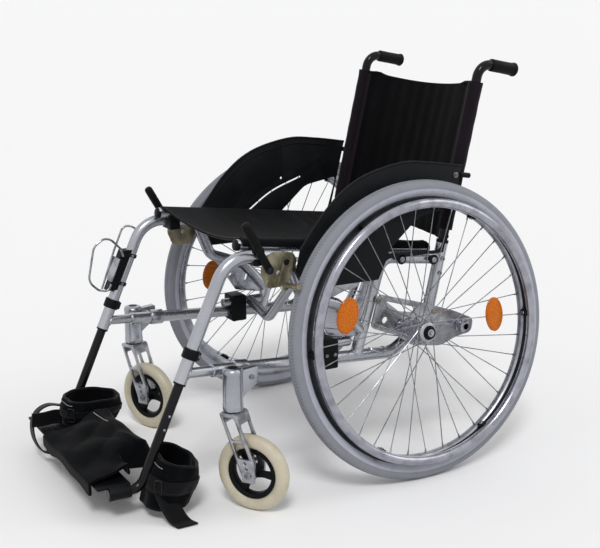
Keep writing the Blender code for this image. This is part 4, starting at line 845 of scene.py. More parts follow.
@dataclass(frozen=True)
class Woven(Finish):
    """Plain-woven nylon: a fine basket of threads with a soft sheen and lint."""

    lint: str = "17181C"
    pitch: float = 2.6
    sheen: float = 0.12

    def detail(self, add: NodeMaker) -> Inputs:
        """Draw the threads from the cloth's own UV map."""
        lay = add("UVMap")
        # Threads are 0.6 mm apart; drawn coarser so that the weave shows
        turns = FULL_TURN * per_metre(self.pitch)
        waves = []
        for way in add("SeparateXYZ", {0: lay}).node.outputs[:2]:
            angle = add("Math", {0: way, 1: turns}, operation="MULTIPLY")
            waves.append(add("Math", {0: angle}, operation="SINE"))
        weave = add("Math", dict(enumerate(waves)), operation="MULTIPLY")
        fluff = {"Scale": per_metre(9), "Detail": 6.0, "Roughness": 0.7}
        fuzz = add("TexNoise", {"Vector": lay, **fluff})
        faded = add("TexNoise", {"Vector": lay, "Scale": per_metre(90), "Detail": 3.0})
        amount = add("Math", {0: fuzz, 1: faded}, operation="MULTIPLY")
        reach = {"From Min": 0.22, "From Max": 0.42, "To Max": 0.75}
        linted = add("MapRange", {"Value": amount, **reach})
        height = add("Math", {0: fuzz, 1: 0.8, 2: weave}, operation="MULTIPLY_ADD")
        base, lint = linear(self.colour), linear(self.lint)
        return {
            "Base Color": add("Mix", {"Factor": linted, "A": base, "B": lint}, **BLEND),
            "Normal": add("Bump", {"Height": height, "Strength": 0.35, "Distance": 0.0004}),
            "Sheen Weight": self.sheen, "Sheen Roughness": 0.45,
        }


@dataclass(frozen=True)
class Webbing(Finish):
    """Ribbed strap webbing: cords along its length and a row of stitches."""

    thread: str = "2A2A2E"
    pitch: float = 2.2
    stitch: float = 5.0

    def detail(self, add: NodeMaker) -> Inputs:
        """Draw the ribs and the stitches from the strap's own UV map."""
        lay = add("UVMap")
        u, v, _ = add("SeparateXYZ", {0: lay}).node.outputs
        waves = []
        for pitch in (self.pitch, self.stitch):
            angle = add("Math", {0: v, 1: FULL_TURN * per_metre(pitch)}, operation="MULTIPLY")
            waves.append(add("Math", {0: angle}, operation="SINE"))
        rib, dash = waves
        stitch = add("MapRange", {"Value": dash, "From Min": 0.0, "From Max": 0.2})
        # One row of stitches runs 4 mm in from the edge where U starts
        row = add("Math", {0: u, 1: 0.004, 2: 0.0007}, operation="COMPARE")
        sewn = add("Math", {0: row, 1: stitch}, operation="MULTIPLY")
        wear = add("TexNoise", {"Vector": lay, "Scale": per_metre(14), "Detail": 5.0})
        shine = {"To Min": self.roughness - 0.2, "To Max": self.roughness + 0.1}
        base, thread = linear(self.colour), linear(self.thread)
        return {
            "Base Color": add("Mix", {"Factor": sewn, "A": base, "B": thread}, **BLEND),
            "Roughness": add("MapRange", {"Value": wear, **shine}),
            "Normal": add("Bump", {"Height": rib, "Strength": 0.4, "Distance": 0.0004}),
            "Sheen Weight": 0.08,
        }


@dataclass(frozen=True)
class PrismLens(Finish):
    """Moulded acrylic reflector: small prisms under a clear face."""

    facet_shade: str = "A85200"
    prism: float = 3.0

    def detail(self, add: NodeMaker) -> Inputs:
        """Draw the prisms, each at its own slant, and darken each towards its edges as painted
        facet shade.
        """
        place = add("TexCoord", out="Object")
        # Prisms are 2 mm; drawn at 3 mm so that they show
        cells = add("TexVoronoi", {"Vector": place, "Scale": per_metre(self.prism)})
        # Each prism's tone darkens away from its middle: painted shade of the facets
        base, facet_shade = linear(self.colour), linear(self.facet_shade)
        return {
            "Base Color": add("Mix", {"Factor": cells, "A": base, "B": facet_shade}, **BLEND),
            "Normal": add("Bump", {"Height": cells, "Strength": 0.3, "Distance": 0.0006}),
            "Coat Weight": 0.15, "Coat Roughness": 0.06,
        }


class Finishes:
    """Every finish on the chair, built once."""

    def __init__(self) -> None:
        """Build the materials."""
        # Silver spray lacquer over aluminium tube: a soft grey shine, not a mirror
        self.silver = Lacquer("silver_lacquered_aluminium_tube", "A6A8AF", 0.25, 0.88).made()
        # Black stoved lacquer on steel tube: deep black with clear highlights
        self.black = Lacquer(
            "black_stoved_lacquer_tube", "060608", 0.14, specular=0.2, shade="0B0B0E",
            worn="1E1E22", peel=0.12, coat=0.0,
        ).made()
        # Polished alloy hand rim: bright, with fine turning lines
        self.polished = Metal(
            "polished_alloy", "A2A3AC", 0.17, 1.0, shade="85868F", grain=(120.0,) * 3, lines=0.06
        ).made()
        # Cast and turned alloy of the hubs: dull silver that shows its shape
        self.cast = Metal(
            "turned_hub_alloy", "A3A5AA", 0.36, 0.8, shade="808288", grain=(200.0,) * 3, lines=0.1
        ).made()
        # Milled alloy plates and forks: straight tool lines over a satin sheen
        self.milled = Metal("milled_alloy_plate", "A8AAAE", 0.3, 0.9, shade="7E8086").made()
        # Silver anodised rim: satin grey metal
        self.anodised = Metal(
            "anodised_rim_alloy", "9EA0A8", 0.3, 0.9, shade="7C7E86", grain=(200.0,) * 3, lines=0.1
        ).made()
        # Outboard walls of the rim: near black beside the tyre, painted shade
        self.wall = Metal(
            "rim_wall_painted_shade", "1E1F24", 0.4, 0.4, 0.2, shade="2C2D33", grain=(200.0,) * 3,
            lines=0.1,
        ).made()
        # Zinc-plated steel with a yellow passivation: warm, patchy sheen
        self.zinc = Metal(
            "yellow_zinc_plated_steel", "8E8872", 0.36, 0.85, shade="5F5A48", grain=(90.0,) * 3,
            lines=0.15,
        ).made()
        # Black-oxided steel of small bolts: dark with a dull gleam
        self.oxide = Metal(
            "black_oxide_steel", "2B2B2E", 0.3, 0.8, shade="1A1A1C", grain=(90.0,) * 3, lines=0.1
        ).made()
        # Stainless wire and bolts: thin bright lines
        self.stainless = Metal(
            "stainless_steel", "909297", 0.26, 1.0, shade="5E6066", grain=(60.0,) * 3, lines=0.05
        ).made()
        # Bright chromium plate on bent wire
        self.chrome = Metal(
            "chromium_plated_wire", "A6A8AD", 0.12, 1.0, shade="6A6C72", grain=(60.0,) * 3,
            lines=0.03,
        ).made()
        # Black glass-filled nylon mouldings: matt with a fine grain
        self.moulding = Moulded(
            "black_moulded_nylon", "060709", 0.45, specular=0.12, dust_and_sheen="141519"
        ).made()
        # Black polypropylene side guards: matt, with blue-grey patches and a painted blue-grey
        # sheen on the edges
        self.guard = Moulded(
            "matt_polypropylene_sheet", "0C0F12", 0.5, specular=0.14, dust_and_sheen="1C2026"
        ).made()
        # Black rubber of the grips: dull, with a little bloom
        self.rubber = Moulded(
            "black_grip_rubber", "050506", 0.5, specular=0.12, dust_and_sheen="101013", grain=1.3, depth=0.2
        ).made()
        # Cream cast polyurethane of the caster tyres: waxy, soiled towards grey
        self.cream = Moulded(
            "cream_cast_polyurethane", "C3BBA5", 0.42, dust_and_sheen="968D78", grain=4.0, depth=0.1
        ).made()
        # Black nylon sling cloth of the seat
        self.seat = Woven(
            "black_nylon_seat_cloth", "050608", 0.75, specular=0.06, lint="101216", sheen=0.04
        ).made()
        # Black padded cloth of the backrest
        self.back = Woven(
            "black_padded_back_cloth", "050406", 0.85, specular=0.05, lint="0D0B0F", sheen=0.04
        ).made()
        # Brownish black canvas of the backrest sleeves
        self.sleeve = Woven(
            "brown_black_sleeve_canvas", "19141A", 0.8, specular=0.06, lint="251E24", sheen=0.08
        ).made()
        # Loop cloth of the foot cuffs
        self.cuff = Woven(
            "black_loop_cloth", "040507", 0.9, specular=0.05, lint="101116", sheen=0.06
        ).made()
        # Black polyester webbing of the straps
        self.webbing = Webbing("black_polyester_webbing", "060709", 0.6, specular=0.08).made()
        # Pale sewing thread
        self.thread = Moulded(
            "pale_sewing_thread", "A9AAB0", 0.7, dust_and_sheen="9A9BA2", grain=1.5, depth=0.4
        ).made()
        # Amber acrylic reflector
        self.amber = PrismLens("amber_acrylic_lens", "D87400", 0.16, specular=0.2).made()


def tyre_finish(side: Side, hub: Matrix) -> bpy.types.Material:
    """The grey tyre rubber of one wheel, whose tread follows that wheel."""
    name = f"grey_tyre_rubber_{side.word}"
    return TyreRubber(name, "84868E", 0.65, specular=0.3, hub=hub).made()


# The chair's shared lines


@dataclass(frozen=True)
class Layout:
    """Lines that several sub-assemblies share; Y is measured from the rear axle."""

    axle_y: float
    frame_x: float = 0.208
    tube_r: float = 0.0125
    rail_y: float = -0.34
    rail_height: float = 0.477
    rail_slope: float = -0.12
    leg_foot: Pair = (-0.491, 0.25)
    leg_lean: float = 0.4444
    lower_front: Pair = (-0.467, 0.2655)
    lower_rear: Pair = (-0.012, 0.2355)
    back_spot: Pair = (0.108, 0.438)
    back_lean: float = 0.225
    seat_x: float = 0.19
    seat_rise: float = 0.018
    seat_tube_r: float = 0.011
    back_end: float = 0.458
    plate_x: float = 0.2208
    guard_bolts: Pair = (-0.005, 0.075)
    shoe_pivot: Pair = (-0.272, 0.462)
    wheel_x: float = 0.296
    wheel_r: float = 0.3038
    camber: float = math.radians(6.0)

    def rail_z(self, y: float) -> float:
        """Height of the seat line at y."""
        return self.rail_height + self.rail_slope * (y - self.rail_y)

    def seat_z(self, y: float) -> float:
        """Height of the seat tubes' centre line at y."""
        return self.rail_z(y) + self.seat_rise

    def leg_y(self, z: float) -> float:
        """Y of the front leg's centre line at height z."""
        return self.leg_foot[0] + self.leg_lean * (z - self.leg_foot[1])

    def lower_z(self, y: float) -> float:
        """Height of the lower tube's centre line at y."""
        (front_y, front_z), (rear_y, rear_z) = self.lower_front, self.lower_rear
        return front_z + (y - front_y) / (rear_y - front_y) * (rear_z - front_z)

    def back_y(self, z: float) -> float:
        """Y of the back tube's centre line at height z."""
        return self.back_spot[0] + self.back_lean * (z - self.back_spot[1])

    def leg_axis(self) -> Vector:
        """Direction up the front leg."""
        return Vector((0.0, self.leg_lean, 1.0)).normalized()

    def at(self, y: float, z: float, x: float | None = None) -> Vector:
        """A point on the left side of the chair."""
        return Vector((self.frame_x if x is None else x, y, z))

    def on_lower(self, y: float) -> Vector:
        """A point on the lower tube's centre line."""
        return self.at(y, self.lower_z(y))

    def on_leg(self, z: float) -> Vector:
        """A point on the front leg's centre line."""
        return self.at(self.leg_y(z), z)

    def on_back(self, z: float) -> Vector:
        """A point on the back tube's centre line."""
        return self.at(self.back_y(z), z)

    def wheel_place(self, side: Side) -> Matrix:
        """The frame of a rear wheel, whose X runs outboard along the cambered axle."""
        out = Vector((side.value * math.cos(self.camber), 0.0, math.sin(self.camber)))
        level = Vector((0.0, side.value, 0.0))
        turn = Matrix((out, level, out.cross(level))).transposed().to_4x4()
        height = self.wheel_r * math.cos(self.camber)
        return Matrix.Translation((side.value * self.wheel_x, 0.0, height)) @ turn

    def along_axle(self, x: float) -> float:
        """How far along the left axle, from the wheel's middle plane, a given X is."""
        return (x - self.wheel_x) / math.cos(self.camber)


@dataclass
class Assembly:
    """What every sub-assembly has: the shared lines and the finishes."""

    lines: Layout
    finishes: Finishes

    def fit(self, piece: Piece, name: str, body: str, *nodes: str, slot: str) -> Piece:
        """Move a finished piece into the frame and hang it on its body.

        Args:
            piece: The finished mesh, in the rear axle's frame.
            name: Its name.
            body: The CAD body that carries it, or an empty name where it bends between two.
            *nodes: The CAD nodes that it stands for.
            slot: The record's material slot; not used.

        Returns:
            The same piece.
        """
        placed(piece, Matrix.Translation((0.0, self.lines.axle_y, 0.0)))
        piece.name = name
        piece.data.name = name
        if body:
            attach(piece, body)
        if nodes:
            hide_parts(*nodes)
        LOG.info("%s on %s: %d faces", name, body or "two bodies", len(piece.data.polygons))
        return piece

    def fit_both(
        self, piece: Piece, name: str, body: str, node: str, slot: str,
        place: Callable[[Side], Matrix] | None = None,
    ) -> dict[Side, Piece]:
        """Fit a piece on both sides of the chair.

        Args:
            piece: The finished mesh, on the left side or, with place, in its own frame.
            name: Its name without the side.
            body: The body's name without the side.
            node: The CAD node's name without the side.
            slot: The record's material slot.
            place: Gives its frame on a side; without it, the right piece is a mirror image.

        Returns:
            The pieces by their sides.
        """
        twin = copied(piece, place(Side.RIGHT)) if place else mirrored(piece)
        if place:
            placed(piece, place(Side.LEFT))
        pair = {Side.LEFT: piece, Side.RIGHT: twin}
        for side, one in pair.items():
            word = side.word
            self.fit(one, f"{name}_{word}", f"{body}_{word}", f"{node}_{word}", slot=slot)
        return pair


# Side frames


@dataclass
class SideFrames(Assembly):
    """The two welded side frames with their collars, bearing blocks and saddles."""

    stub_r: float = 0.01
    stub_length: float = 0.045
    rail_rear: float = -0.262
    dip: tuple[Pair, Pair, Pair] = ((-0.228, 0.386), (-0.145, 0.356), (-0.085, 0.29))
    upright_foot: float = -0.1
    upright_head: float = -0.0405
    back_foot_z: float = 0.292
    gusset_half: float = 0.002
    ring_z: float = 0.303
    ring_half: float = 0.01

    def tubes(self) -> list[Piece]:
        """The bent and straight tubes of the left frame."""
        lines = self.lines
        (foot_y, foot_z), lean, slope = lines.leg_foot, lines.leg_lean, lines.rail_slope
        corner_y = (
            foot_y + lean * (lines.rail_height - slope * lines.rail_y - foot_z)
        ) / (1.0 - lean * slope)
        corner = (corner_y, lines.rail_z(corner_y))
        points = [lines.leg_foot, corner, (self.rail_rear, lines.rail_z(self.rail_rear)), *self.dip]
        leg = rod(bent([lines.at(*p) for p in points], [0.065, 0.03, 0.03, 0.03]), lines.tube_r, 28)
        step = lines.lower_front[0] + self.stub_length
        back = [lines.on_back(z) for z in (self.back_foot_z, lines.back_end)]
        points = [lines.on_lower(step), lines.at(*lines.lower_rear), *back]
        lower = rod(bent(points, [0.06, 0.035]), lines.tube_r, 28)
        front = lines.on_lower(lines.leg_y(lines.lower_front[1]))
        stub = bar(front, lines.at(step + 0.002, lines.lower_z(step)), self.stub_r, 28)
        ends = lines.on_lower(step - 0.004), lines.on_lower(step + 0.006)
        shoulder = collar(*ends, self.stub_r - 0.001, lines.tube_r + 0.0004)
        foot = lines.on_lower(self.upright_foot)
        head = lines.at(self.upright_head, lines.rail_z(self.upright_head))
        rear_y = lines.back_y(lines.rail_z(lines.back_spot[0]))
        rear = lines.at(rear_y, lines.rail_z(lines.back_spot[0]))
        upright = rod(bent([foot, head, rear], [0.03], 12), lines.tube_r, 28)
        return [leg, lower, stub, shoulder, upright]

    def beads(self) -> list[Piece]:
        """Weld beads where the tubes of the left frame meet."""
        lines = self.lines
        r = lines.tube_r
        lower_run = lines.at(*lines.lower_rear) - lines.at(*lines.lower_front)
        leg_spot = lines.on_leg(lines.lower_front[1])
        back_run = Vector((0.0, lines.back_lean, 1.0))
        back_spot = lines.at(*lines.back_spot)
        foot = lines.on_lower(self.upright_foot)
        head = lines.at(self.upright_head, lines.rail_z(self.upright_head))
        rear = lines.at(lines.back_spot[0], lines.rail_z(lines.back_spot[0]))
        dip_mid, dip_end = lines.at(*self.dip[1]), lines.at(*self.dip[2])
        lower_spot = lines.at(*lines.lower_front)
        upright_in = rear + (head - rear).normalized() * 0.04
        return [
            weld(leg_spot, lines.leg_axis(), r, leg_spot, lower_run, self.stub_r),
            weld(lower_spot, lower_run, r, foot, head - foot, r),
            weld(back_spot, back_run, r, upright_in, upright_in - rear, r),
            weld(lower_spot, lower_run, r, dip_end, dip_mid - dip_end, r),
        ]

    def gusset(self) -> Piece:
        """The plate in the corner under the dip, with its hole and slot."""
        x, half = self.lines.frame_x, self.gusset_half
        outline = [(-0.224, 0.382), self.dip[1], self.dip[2], (-0.1, 0.283), (-0.165, 0.296)]
        plate = sheet_metal(outline, x - half, x + half)
        hole = bar((x - PAST, -0.18, 0.336), (x + PAST, -0.18, 0.336), 0.005)
        slot = [(-0.1425, 0.3165), (-0.1375, 0.3155), (-0.1315, 0.3395), (-0.1365, 0.3405)]
        slot = sheet_metal(slot, x - PAST, x + PAST, 0.0022)
        return eased(cut(plate, hole, slot), 0.0008)

    def fittings(self) -> list[Piece]:
        """The small bolts and plugs on the left frame."""
        lines, f = self.lines, self.finishes
        r, x = lines.tube_r, lines.frame_x
        parts = []
        for y, z in ((0.1045, 0.424), (0.098, 0.394)):
            seat = Vector((x + r - 0.0006, y, z))
            parts.append(dressed(bolt(Head.SOCKET, seat, OUT, 0.0048, 0.004), f.stainless))
        for y in lines.guard_bolts:
            seat = Vector((x - r + 0.0006, y, lines.rail_z(y)))
            parts.append(dressed(bolt(Head.HEX, seat, IN, 0.006, 0.004), f.stainless))
        top = lines.on_back(lines.back_end)
        up = Vector((0.0, lines.back_lean, 1.0)).normalized()
        rim = collar(top - up * 0.003, top + up * 0.004, 0.0104, r + 0.0006)
        parts.append(dressed(rim, f.moulding))
        foot = lines.at(*lines.leg_foot)
        sleeve = collar(foot - lines.leg_axis() * 0.004, foot + lines.leg_axis() * 0.001, 0.0099, r)
        parts.append(dressed(sleeve, f.moulding))
        return parts

    def ring(self) -> Piece:
        """The pinch collar on the front leg, with its lug and screw."""
        lines, f = self.lines, self.finishes
        middle = lines.on_leg(self.ring_z)
        reach = lines.leg_axis() * self.ring_half
        band = collar(middle - reach, middle + reach, lines.tube_r + 0.0002, lines.tube_r + 0.0038)
        lug = brick((-0.0035, 0.0135, -0.008), (0.0035, 0.0205, 0.008), 0.0014)
        tilt = Matrix.Rotation(-math.atan(lines.leg_lean), 4, "X")
        placed(lug, Matrix.Translation(middle) @ tilt)
        screw = bolt(Head.SOCKET, middle + Vector((0.0033, 0.0155, -0.007)), OUT, 0.0032, 0.003)
        dressed(screw, f.stainless)
        return joined(dressed(band, f.moulding), dressed(lug, f.moulding), screw)

    def bearing(self) -> Piece:
        """The block that clips round the lower tube and carries the brace's pivot sleeve."""
        lines, f = self.lines, self.finishes
        low_z = lines.lower_z(-0.1685) - lines.tube_r - 0.006
        block = brick((0.18, -0.187, low_z), (0.2247, -0.15, 0.287), 0.004, 4)
        split = brick((0.205, -0.19, low_z + 0.0095), (0.23, -0.147, low_z + 0.011), 0.0003, 1)
        relief = bar((0.189, -0.19, 0.248), (0.189, -0.147, 0.248), 0.0035)
        dressed(eased(cut(block, split, relief), 0.0006), f.moulding)
        parts = [block]
        for y in (-0.178, -0.159):
            screw = bolt(Head.SOCKET, (0.2244, y, low_z + 0.03), OUT, 0.0036, 0.0022)
            parts.append(dressed(screw, f.stainless))
            nut = bolt(Head.HEX, (0.19, y, low_z + 0.0004), DOWN, 0.0045, 0.0022)
            parts.append(dressed(nut, f.stainless))
        return joined(*parts)

    def saddle(self) -> Piece:
        """The clip on the front rail with the open cradle for the seat tube."""
        lines, f = self.lines, self.finishes
        front, rear = -0.338, -0.314
        middle = (front + rear) / 2.0
        low_z = lines.rail_z(middle) - lines.tube_r - 0.004
        high_z = lines.seat_z(rear) - 0.001
        block = brick((0.175, front, low_z), (0.2201, rear, high_z), 0.0022, 3)
        tools = []
        for x, height, radius in (
            (lines.frame_x, lines.rail_z, lines.tube_r),
            (lines.seat_x, lines.seat_z, lines.seat_tube_r + 0.0003),
        ):
            start, end = front - PAST, rear + PAST
            tools.append(bar((x, start, height(start)), (x, end, height(end)), radius + 0.0002, 32))
        body = dressed(sound(cut(block, *tools)), f.moulding)
        screw = bolt(Head.ROUND, (0.1976, middle, low_z + 0.0003), DOWN, 0.0045, 0.0024)
        return joined(body, dressed(screw, f.stainless))

    def build(self) -> None:
        """Fit the frames and what is clamped to them."""
        f = self.finishes
        metal = [dressed(part, f.silver) for part in (*self.tubes(), *self.beads())]
        metal.append(dressed(self.gusset(), f.silver))
        frame = joined(*metal, *self.fittings())
        self.fit_both(frame, "frame_tubes", "frame", "side_frame", "silver_lacquer")
        self.fit_both(self.ring(), "leg_collar", "frame", "clamp_ring", "black_plastic")
        self.fit_both(self.bearing(), "bearing_block", "frame", "brace_foot", "black_plastic")
        self.fit_both(self.saddle(), "seat_saddle", "frame", "rail_saddle", "black_plastic")


@dataclass
class PushHandles(Assembly):
    """The back canes with their handles and grips."""

    cane_r: float = 0.01
    socket: float = 0.0297
    bend_z: float = 0.8234
    bend: float = 0.03
    run: float = 0.0883
    drop: float = 0.186
    grip_length: float = 0.067
    screw_z: float = 0.47

    def cane(self) -> tuple[Piece, Vector, Vector]:
        """The bent tube, with the end of its handle and the way the handle runs."""
        lines = self.lines
        bottom = lines.back_end - self.socket / math.sqrt(1.0 + lines.back_lean**2)
        corner = lines.on_back(self.bend_z)
        end = lines.at(corner.y + self.run, self.bend_z - self.drop * self.run)
        tube = rod(bent([lines.on_back(bottom), corner, end], [self.bend], 14), self.cane_r, 28)
        return tube, end, (end - corner).normalized()

    def grip(self, end: Vector, run: Vector) -> Piece:
        """The slim rubber grip with its bead.

        Args:
            end: Where the tube ends.
            run: The way the handle runs.

        Returns:
            The new mesh.
        """
        length = self.grip_length
        profile = [
            (length, 0.0), (length, 0.01), (length - 0.001, 0.0126), (length - 0.0032, 0.0145),
            (length - 0.0065, 0.0145), (length - 0.009, 0.0134), (length - 0.012, 0.0131),
            (0.03, 0.0128), (0.003, 0.013), (0.0008, 0.0124), (0.0, 0.0113), (0.0, 0.0101),
        ]
        profile.append((0.05, 0.0101))
        grip = turned([*profile, (0.05, 0.0)], 32)
        return placed(grip, aim(end + run * (0.0003 - length + 0.004), run))

    def build(self) -> None:
        """Fit both canes and grips."""
        f = self.finishes
        tube, end, run = self.cane()
        dressed(tube, f.black)
        seat = self.lines.on_back(self.screw_z) + Vector((self.cane_r - 0.0005, 0, 0))
        screw = dressed(bolt(Head.SOCKET, seat, OUT, 0.0042, 0.0035), f.moulding)
        self.fit_both(joined(tube, screw), "push_handle", "frame", "back_cane", "black_lacquer")
        grip = dressed(self.grip(end, run), f.rubber)
        self.fit_both(grip, "handle_grip", "frame", "hand_grip", "grip_rubber")


# Casters


@dataclass
class Casters(Assembly):
    """The swivelling front wheels with their forks and head tubes."""

    swivel_x: float = 0.252
    swivel_y: float = -0.402
    trail: float = 0.0435
    wheel_r: float = 0.0753
    tyre_r: float = 0.0135
    head_low: float = 0.194
    head_high: float = 0.279
    web: tuple[Pair, ...] = (
        (-0.395, 0.271), (-0.351, 0.2755), (-0.351, 0.243), (-0.372, 0.228), (-0.395, 0.209)
    )
    arch: tuple[Pair, ...] = (
        (-0.0115, 0.1855), (0.0125, 0.1855), (0.0235, 0.164), (0.03, 0.144), (0.008, 0.14)
    )
    window: tuple[Pair, ...] = (
        (0.0095, 0.1365), (0.0335, 0.1365), (0.0465, 0.1065), (0.0215, 0.1065)
    )
    cheek: tuple[Pair, ...] = ((0.0265, 0.1045), (0.052, 0.1045), (0.059, 0.062), (0.031, 0.06))
    yaw: dict[Side, float] = field(
        default_factory=lambda: {Side.LEFT: math.radians(33.7), Side.RIGHT: math.radians(23.0)}
    )

    def place(self, side: Side) -> Matrix:
        """The frame of a fork, whose Y trails and whose X is its wheel's axle."""
        spot = Matrix.Translation((side.value * self.swivel_x, self.swivel_y, 0.0))
        return spot @ Matrix.Rotation(self.yaw[side] - math.pi / 2.0, 4, "Z")

    def head(self) -> Piece:
        """The left head tube with its cap and the clamp block on the lower tube."""
        lines, f = self.lines, self.finishes
        x, y = self.swivel_x, self.swivel_y
        length = self.head_high - self.head_low
        profile = [
            (0.0, 0.0), (0.0, 0.018), (0.0012, 0.0197), (0.0035, 0.02), (0.012, 0.02),
            (0.0132, 0.0194), (length - 0.013, 0.0194), (length - 0.0118, 0.02),
            (length - 0.0065, 0.02), (length - 0.0045, 0.0192), (length - 0.0015, 0.0165),
        ]
        tube = turned([*profile, (length - 0.0004, 0.012), (length - 0.0004, 0.0)], 40)
        placed(tube, aim((x, y, self.head_low), UP))
        front, rear = y + 0.023, y + 0.051
        ring = collar(lines.on_lower(front), lines.on_lower(rear), 0.0126, 0.0165)
        block = brick(
            (lines.frame_x, front + 0.002, 0.243), (x + 0.006, rear - 0.002, 0.268), 0.003, 3
        )
        web = sheet_metal(self.web, x - 0.008, x + 0.0075, 0.004, 4)
        parts = [dressed(part, f.silver) for part in (tube, ring, block, eased(web, 0.0012))]
        middle = (front + rear) / 2.0
        head = bolt(Head.SOCKET, (x + 0.0072, middle, 0.2555), OUT, 0.005, 0.004)
        parts.append(dressed(head, f.stainless))
        inner = (lines.frame_x - 0.016, middle, lines.lower_z(middle))
        parts.append(dressed(bolt(Head.HEX, inner, IN, 0.0052, 0.0036), f.stainless))
        cap = bolt(Head.ROUND, (x, y, self.head_high - 0.0022), UP, 0.0105, 0.002)
        parts.append(dressed(cap, f.moulding))
        return joined(*parts)

    def fork(self) -> Piece:
        """The fork in its own frame: two windowed blades under a crown, and the stem."""
        f = self.finishes
        axle, top = self.wheel_r, self.head_low - 0.0013
        crown, inner, outer = top - 0.02, 0.017, 0.022
        t = self.trail
        outline = [
            (-0.019, top), (0.019, top), (0.03, crown - 0.012), (t + 0.014, axle + 0.026),
            (t + 0.014, axle - 0.006), (t + 0.006, axle - 0.0137), (t - 0.006, axle - 0.0137),
            (t - 0.013, axle - 0.006), (0.01, axle + 0.045),
        ]
        blades = sheet_metal(outline, -outer, outer, 0.0055, 5)
        gap = brick((-inner, -0.09, -0.01), (inner, 0.13, crown), 0.0045, 4)
        past = 0.05
        tools = [
            gap, sheet_metal(self.arch, -past, past, 0.004),
            sheet_metal(self.window, -past, past, 0.003),
        ]
        cheeks = [sheet_metal(self.cheek, s * 0.0215, s * 0.0227, 0.003, 3) for s in (-1, 1)]
        holes = []
        for rise in (0.013, 0.024):
            spot = (t - rise * 0.3, axle + rise)
            holes += [bar((-past, *spot), (past, *spot), 0.003, 20) for _ in range(3)]
        eased(cut(blades, *tools, *holes[::3]), 0.0009)
        cheeks = [eased(cut(cheek, *holes[k::3]), 0.0004, 1) for k, cheek in enumerate(cheeks, 1)]
        neck = bar((0, 0, top - 0.003), (0, 0, self.head_low - 0.0004), 0.013, 32)
        stem = bar((0, 0, top - 0.004), (0, 0, self.head_low + 0.03), 0.006)
        race = collar((0, 0, top - 0.0004), (0, 0, self.head_low - 0.0003), 0.012, 0.0165)
        fork = joined(*[dressed(part, f.milled) for part in (blades, *cheeks, neck, stem)])
        return joined(fork, dressed(race, f.moulding))

    def axle(self) -> Piece:
        """The caster's axle bolt, with a socket head and a nut."""
        spot = Vector((0.0, self.trail, self.wheel_r))
        out = Vector((0.0223, 0.0, 0.0))
        pin = bar(spot - out, spot + out, 0.004)
        head = bolt(Head.SOCKET, spot + out, OUT, 0.007, 0.0034)
        nut = bolt(Head.HEX, spot - out, IN, 0.0068, 0.0034)
        return dressed(joined(pin, head, nut), self.finishes.stainless)

    def tyre(self) -> Piece:
        """The solid tyre, with a softly flattened tread."""
        middle = self.wheel_r - self.tyre_r
        profile = []
        for step in range(20):
            angle = FULL_TURN * step / 20
            lift = math.cos(angle)
            swell = self.tyre_r * math.copysign(abs(lift) ** 0.85, lift)
            profile.append((self.tyre_r * 0.98 * math.sin(angle), middle + swell))
        return dressed(turned(profile, 64, closed=True), self.finishes.cream)

    def wheel(self) -> Piece:
        """The three-spoked wheel centre with its bearings."""
        f = self.finishes
        outer = self.wheel_r - 2.0 * self.tyre_r + 0.0006
        inner = outer - 0.009
        lip = [(-0.01, outer + 0.0012), (-0.0104, outer - 0.001), (-0.008, inner + 0.0022)]
        loop = both_ways([*lip, (-0.0045, inner + 0.0004)])
        rim = turned([*loop, (0.0085, outer), (-0.0085, outer)], 64, closed=True)
        hub = turned(
            both_ways([(-0.016, 0.0), (-0.016, 0.0095), (-0.015, 0.011), (-0.007, 0.0125)]), 32
        )
        outline = both_ways([(-0.0085, 0.006), (-0.0052, 0.024), (-0.008, inner + 0.003)])
        blade = sheet_metal(outline, -0.0058, 0.0058, 0.004, 4)
        eased(blade, 0.0018, 3)
        turns = [Matrix.Rotation(FULL_TURN * (k + 0.25) / 3, 4, "X") for k in range(3)]
        blades = [
            placed(blade, turns[0]),
            *[copied(blade, turns[k] @ turns[0].inverted()) for k in (1, 2)],
        ]
        centre = joined(*[dressed(part, f.moulding) for part in (rim, hub, *blades)])
        caps = [collar((s * 0.015, 0, 0), (s * 0.0163, 0, 0), 0.004, 0.0085) for s in (1, -1)]
        return joined(centre, *[dressed(cap, f.stainless) for cap in caps])

    def build(self) -> None:
        """Fit both casters."""
        self.fit_both(self.head(), "caster_head", "frame", "caster_housing", "silver_lacquer")
        still = Matrix.Identity(4)
        spin = Matrix.Translation((0.0, self.trail, self.wheel_r))
        parts = (
            (self.fork(), still, "swivel_fork", "caster_fork", "caster_fork", "bare_alloy"),
            (self.axle(), still, "caster_bolt", "caster_fork", "caster_axle", "zinc_steel"),
            (self.tyre(), spin, "caster_tread", "caster_wheel", "caster_tyre", "cream_tyre"),
            (self.wheel(), spin, "caster_centre", "caster_wheel", "caster_rim", "black_plastic"),
        )
        for piece, own, *names in parts:
            self.fit_both(piece, *names, lambda side, own=own: self.place(side) @ own)


# Rear wheels


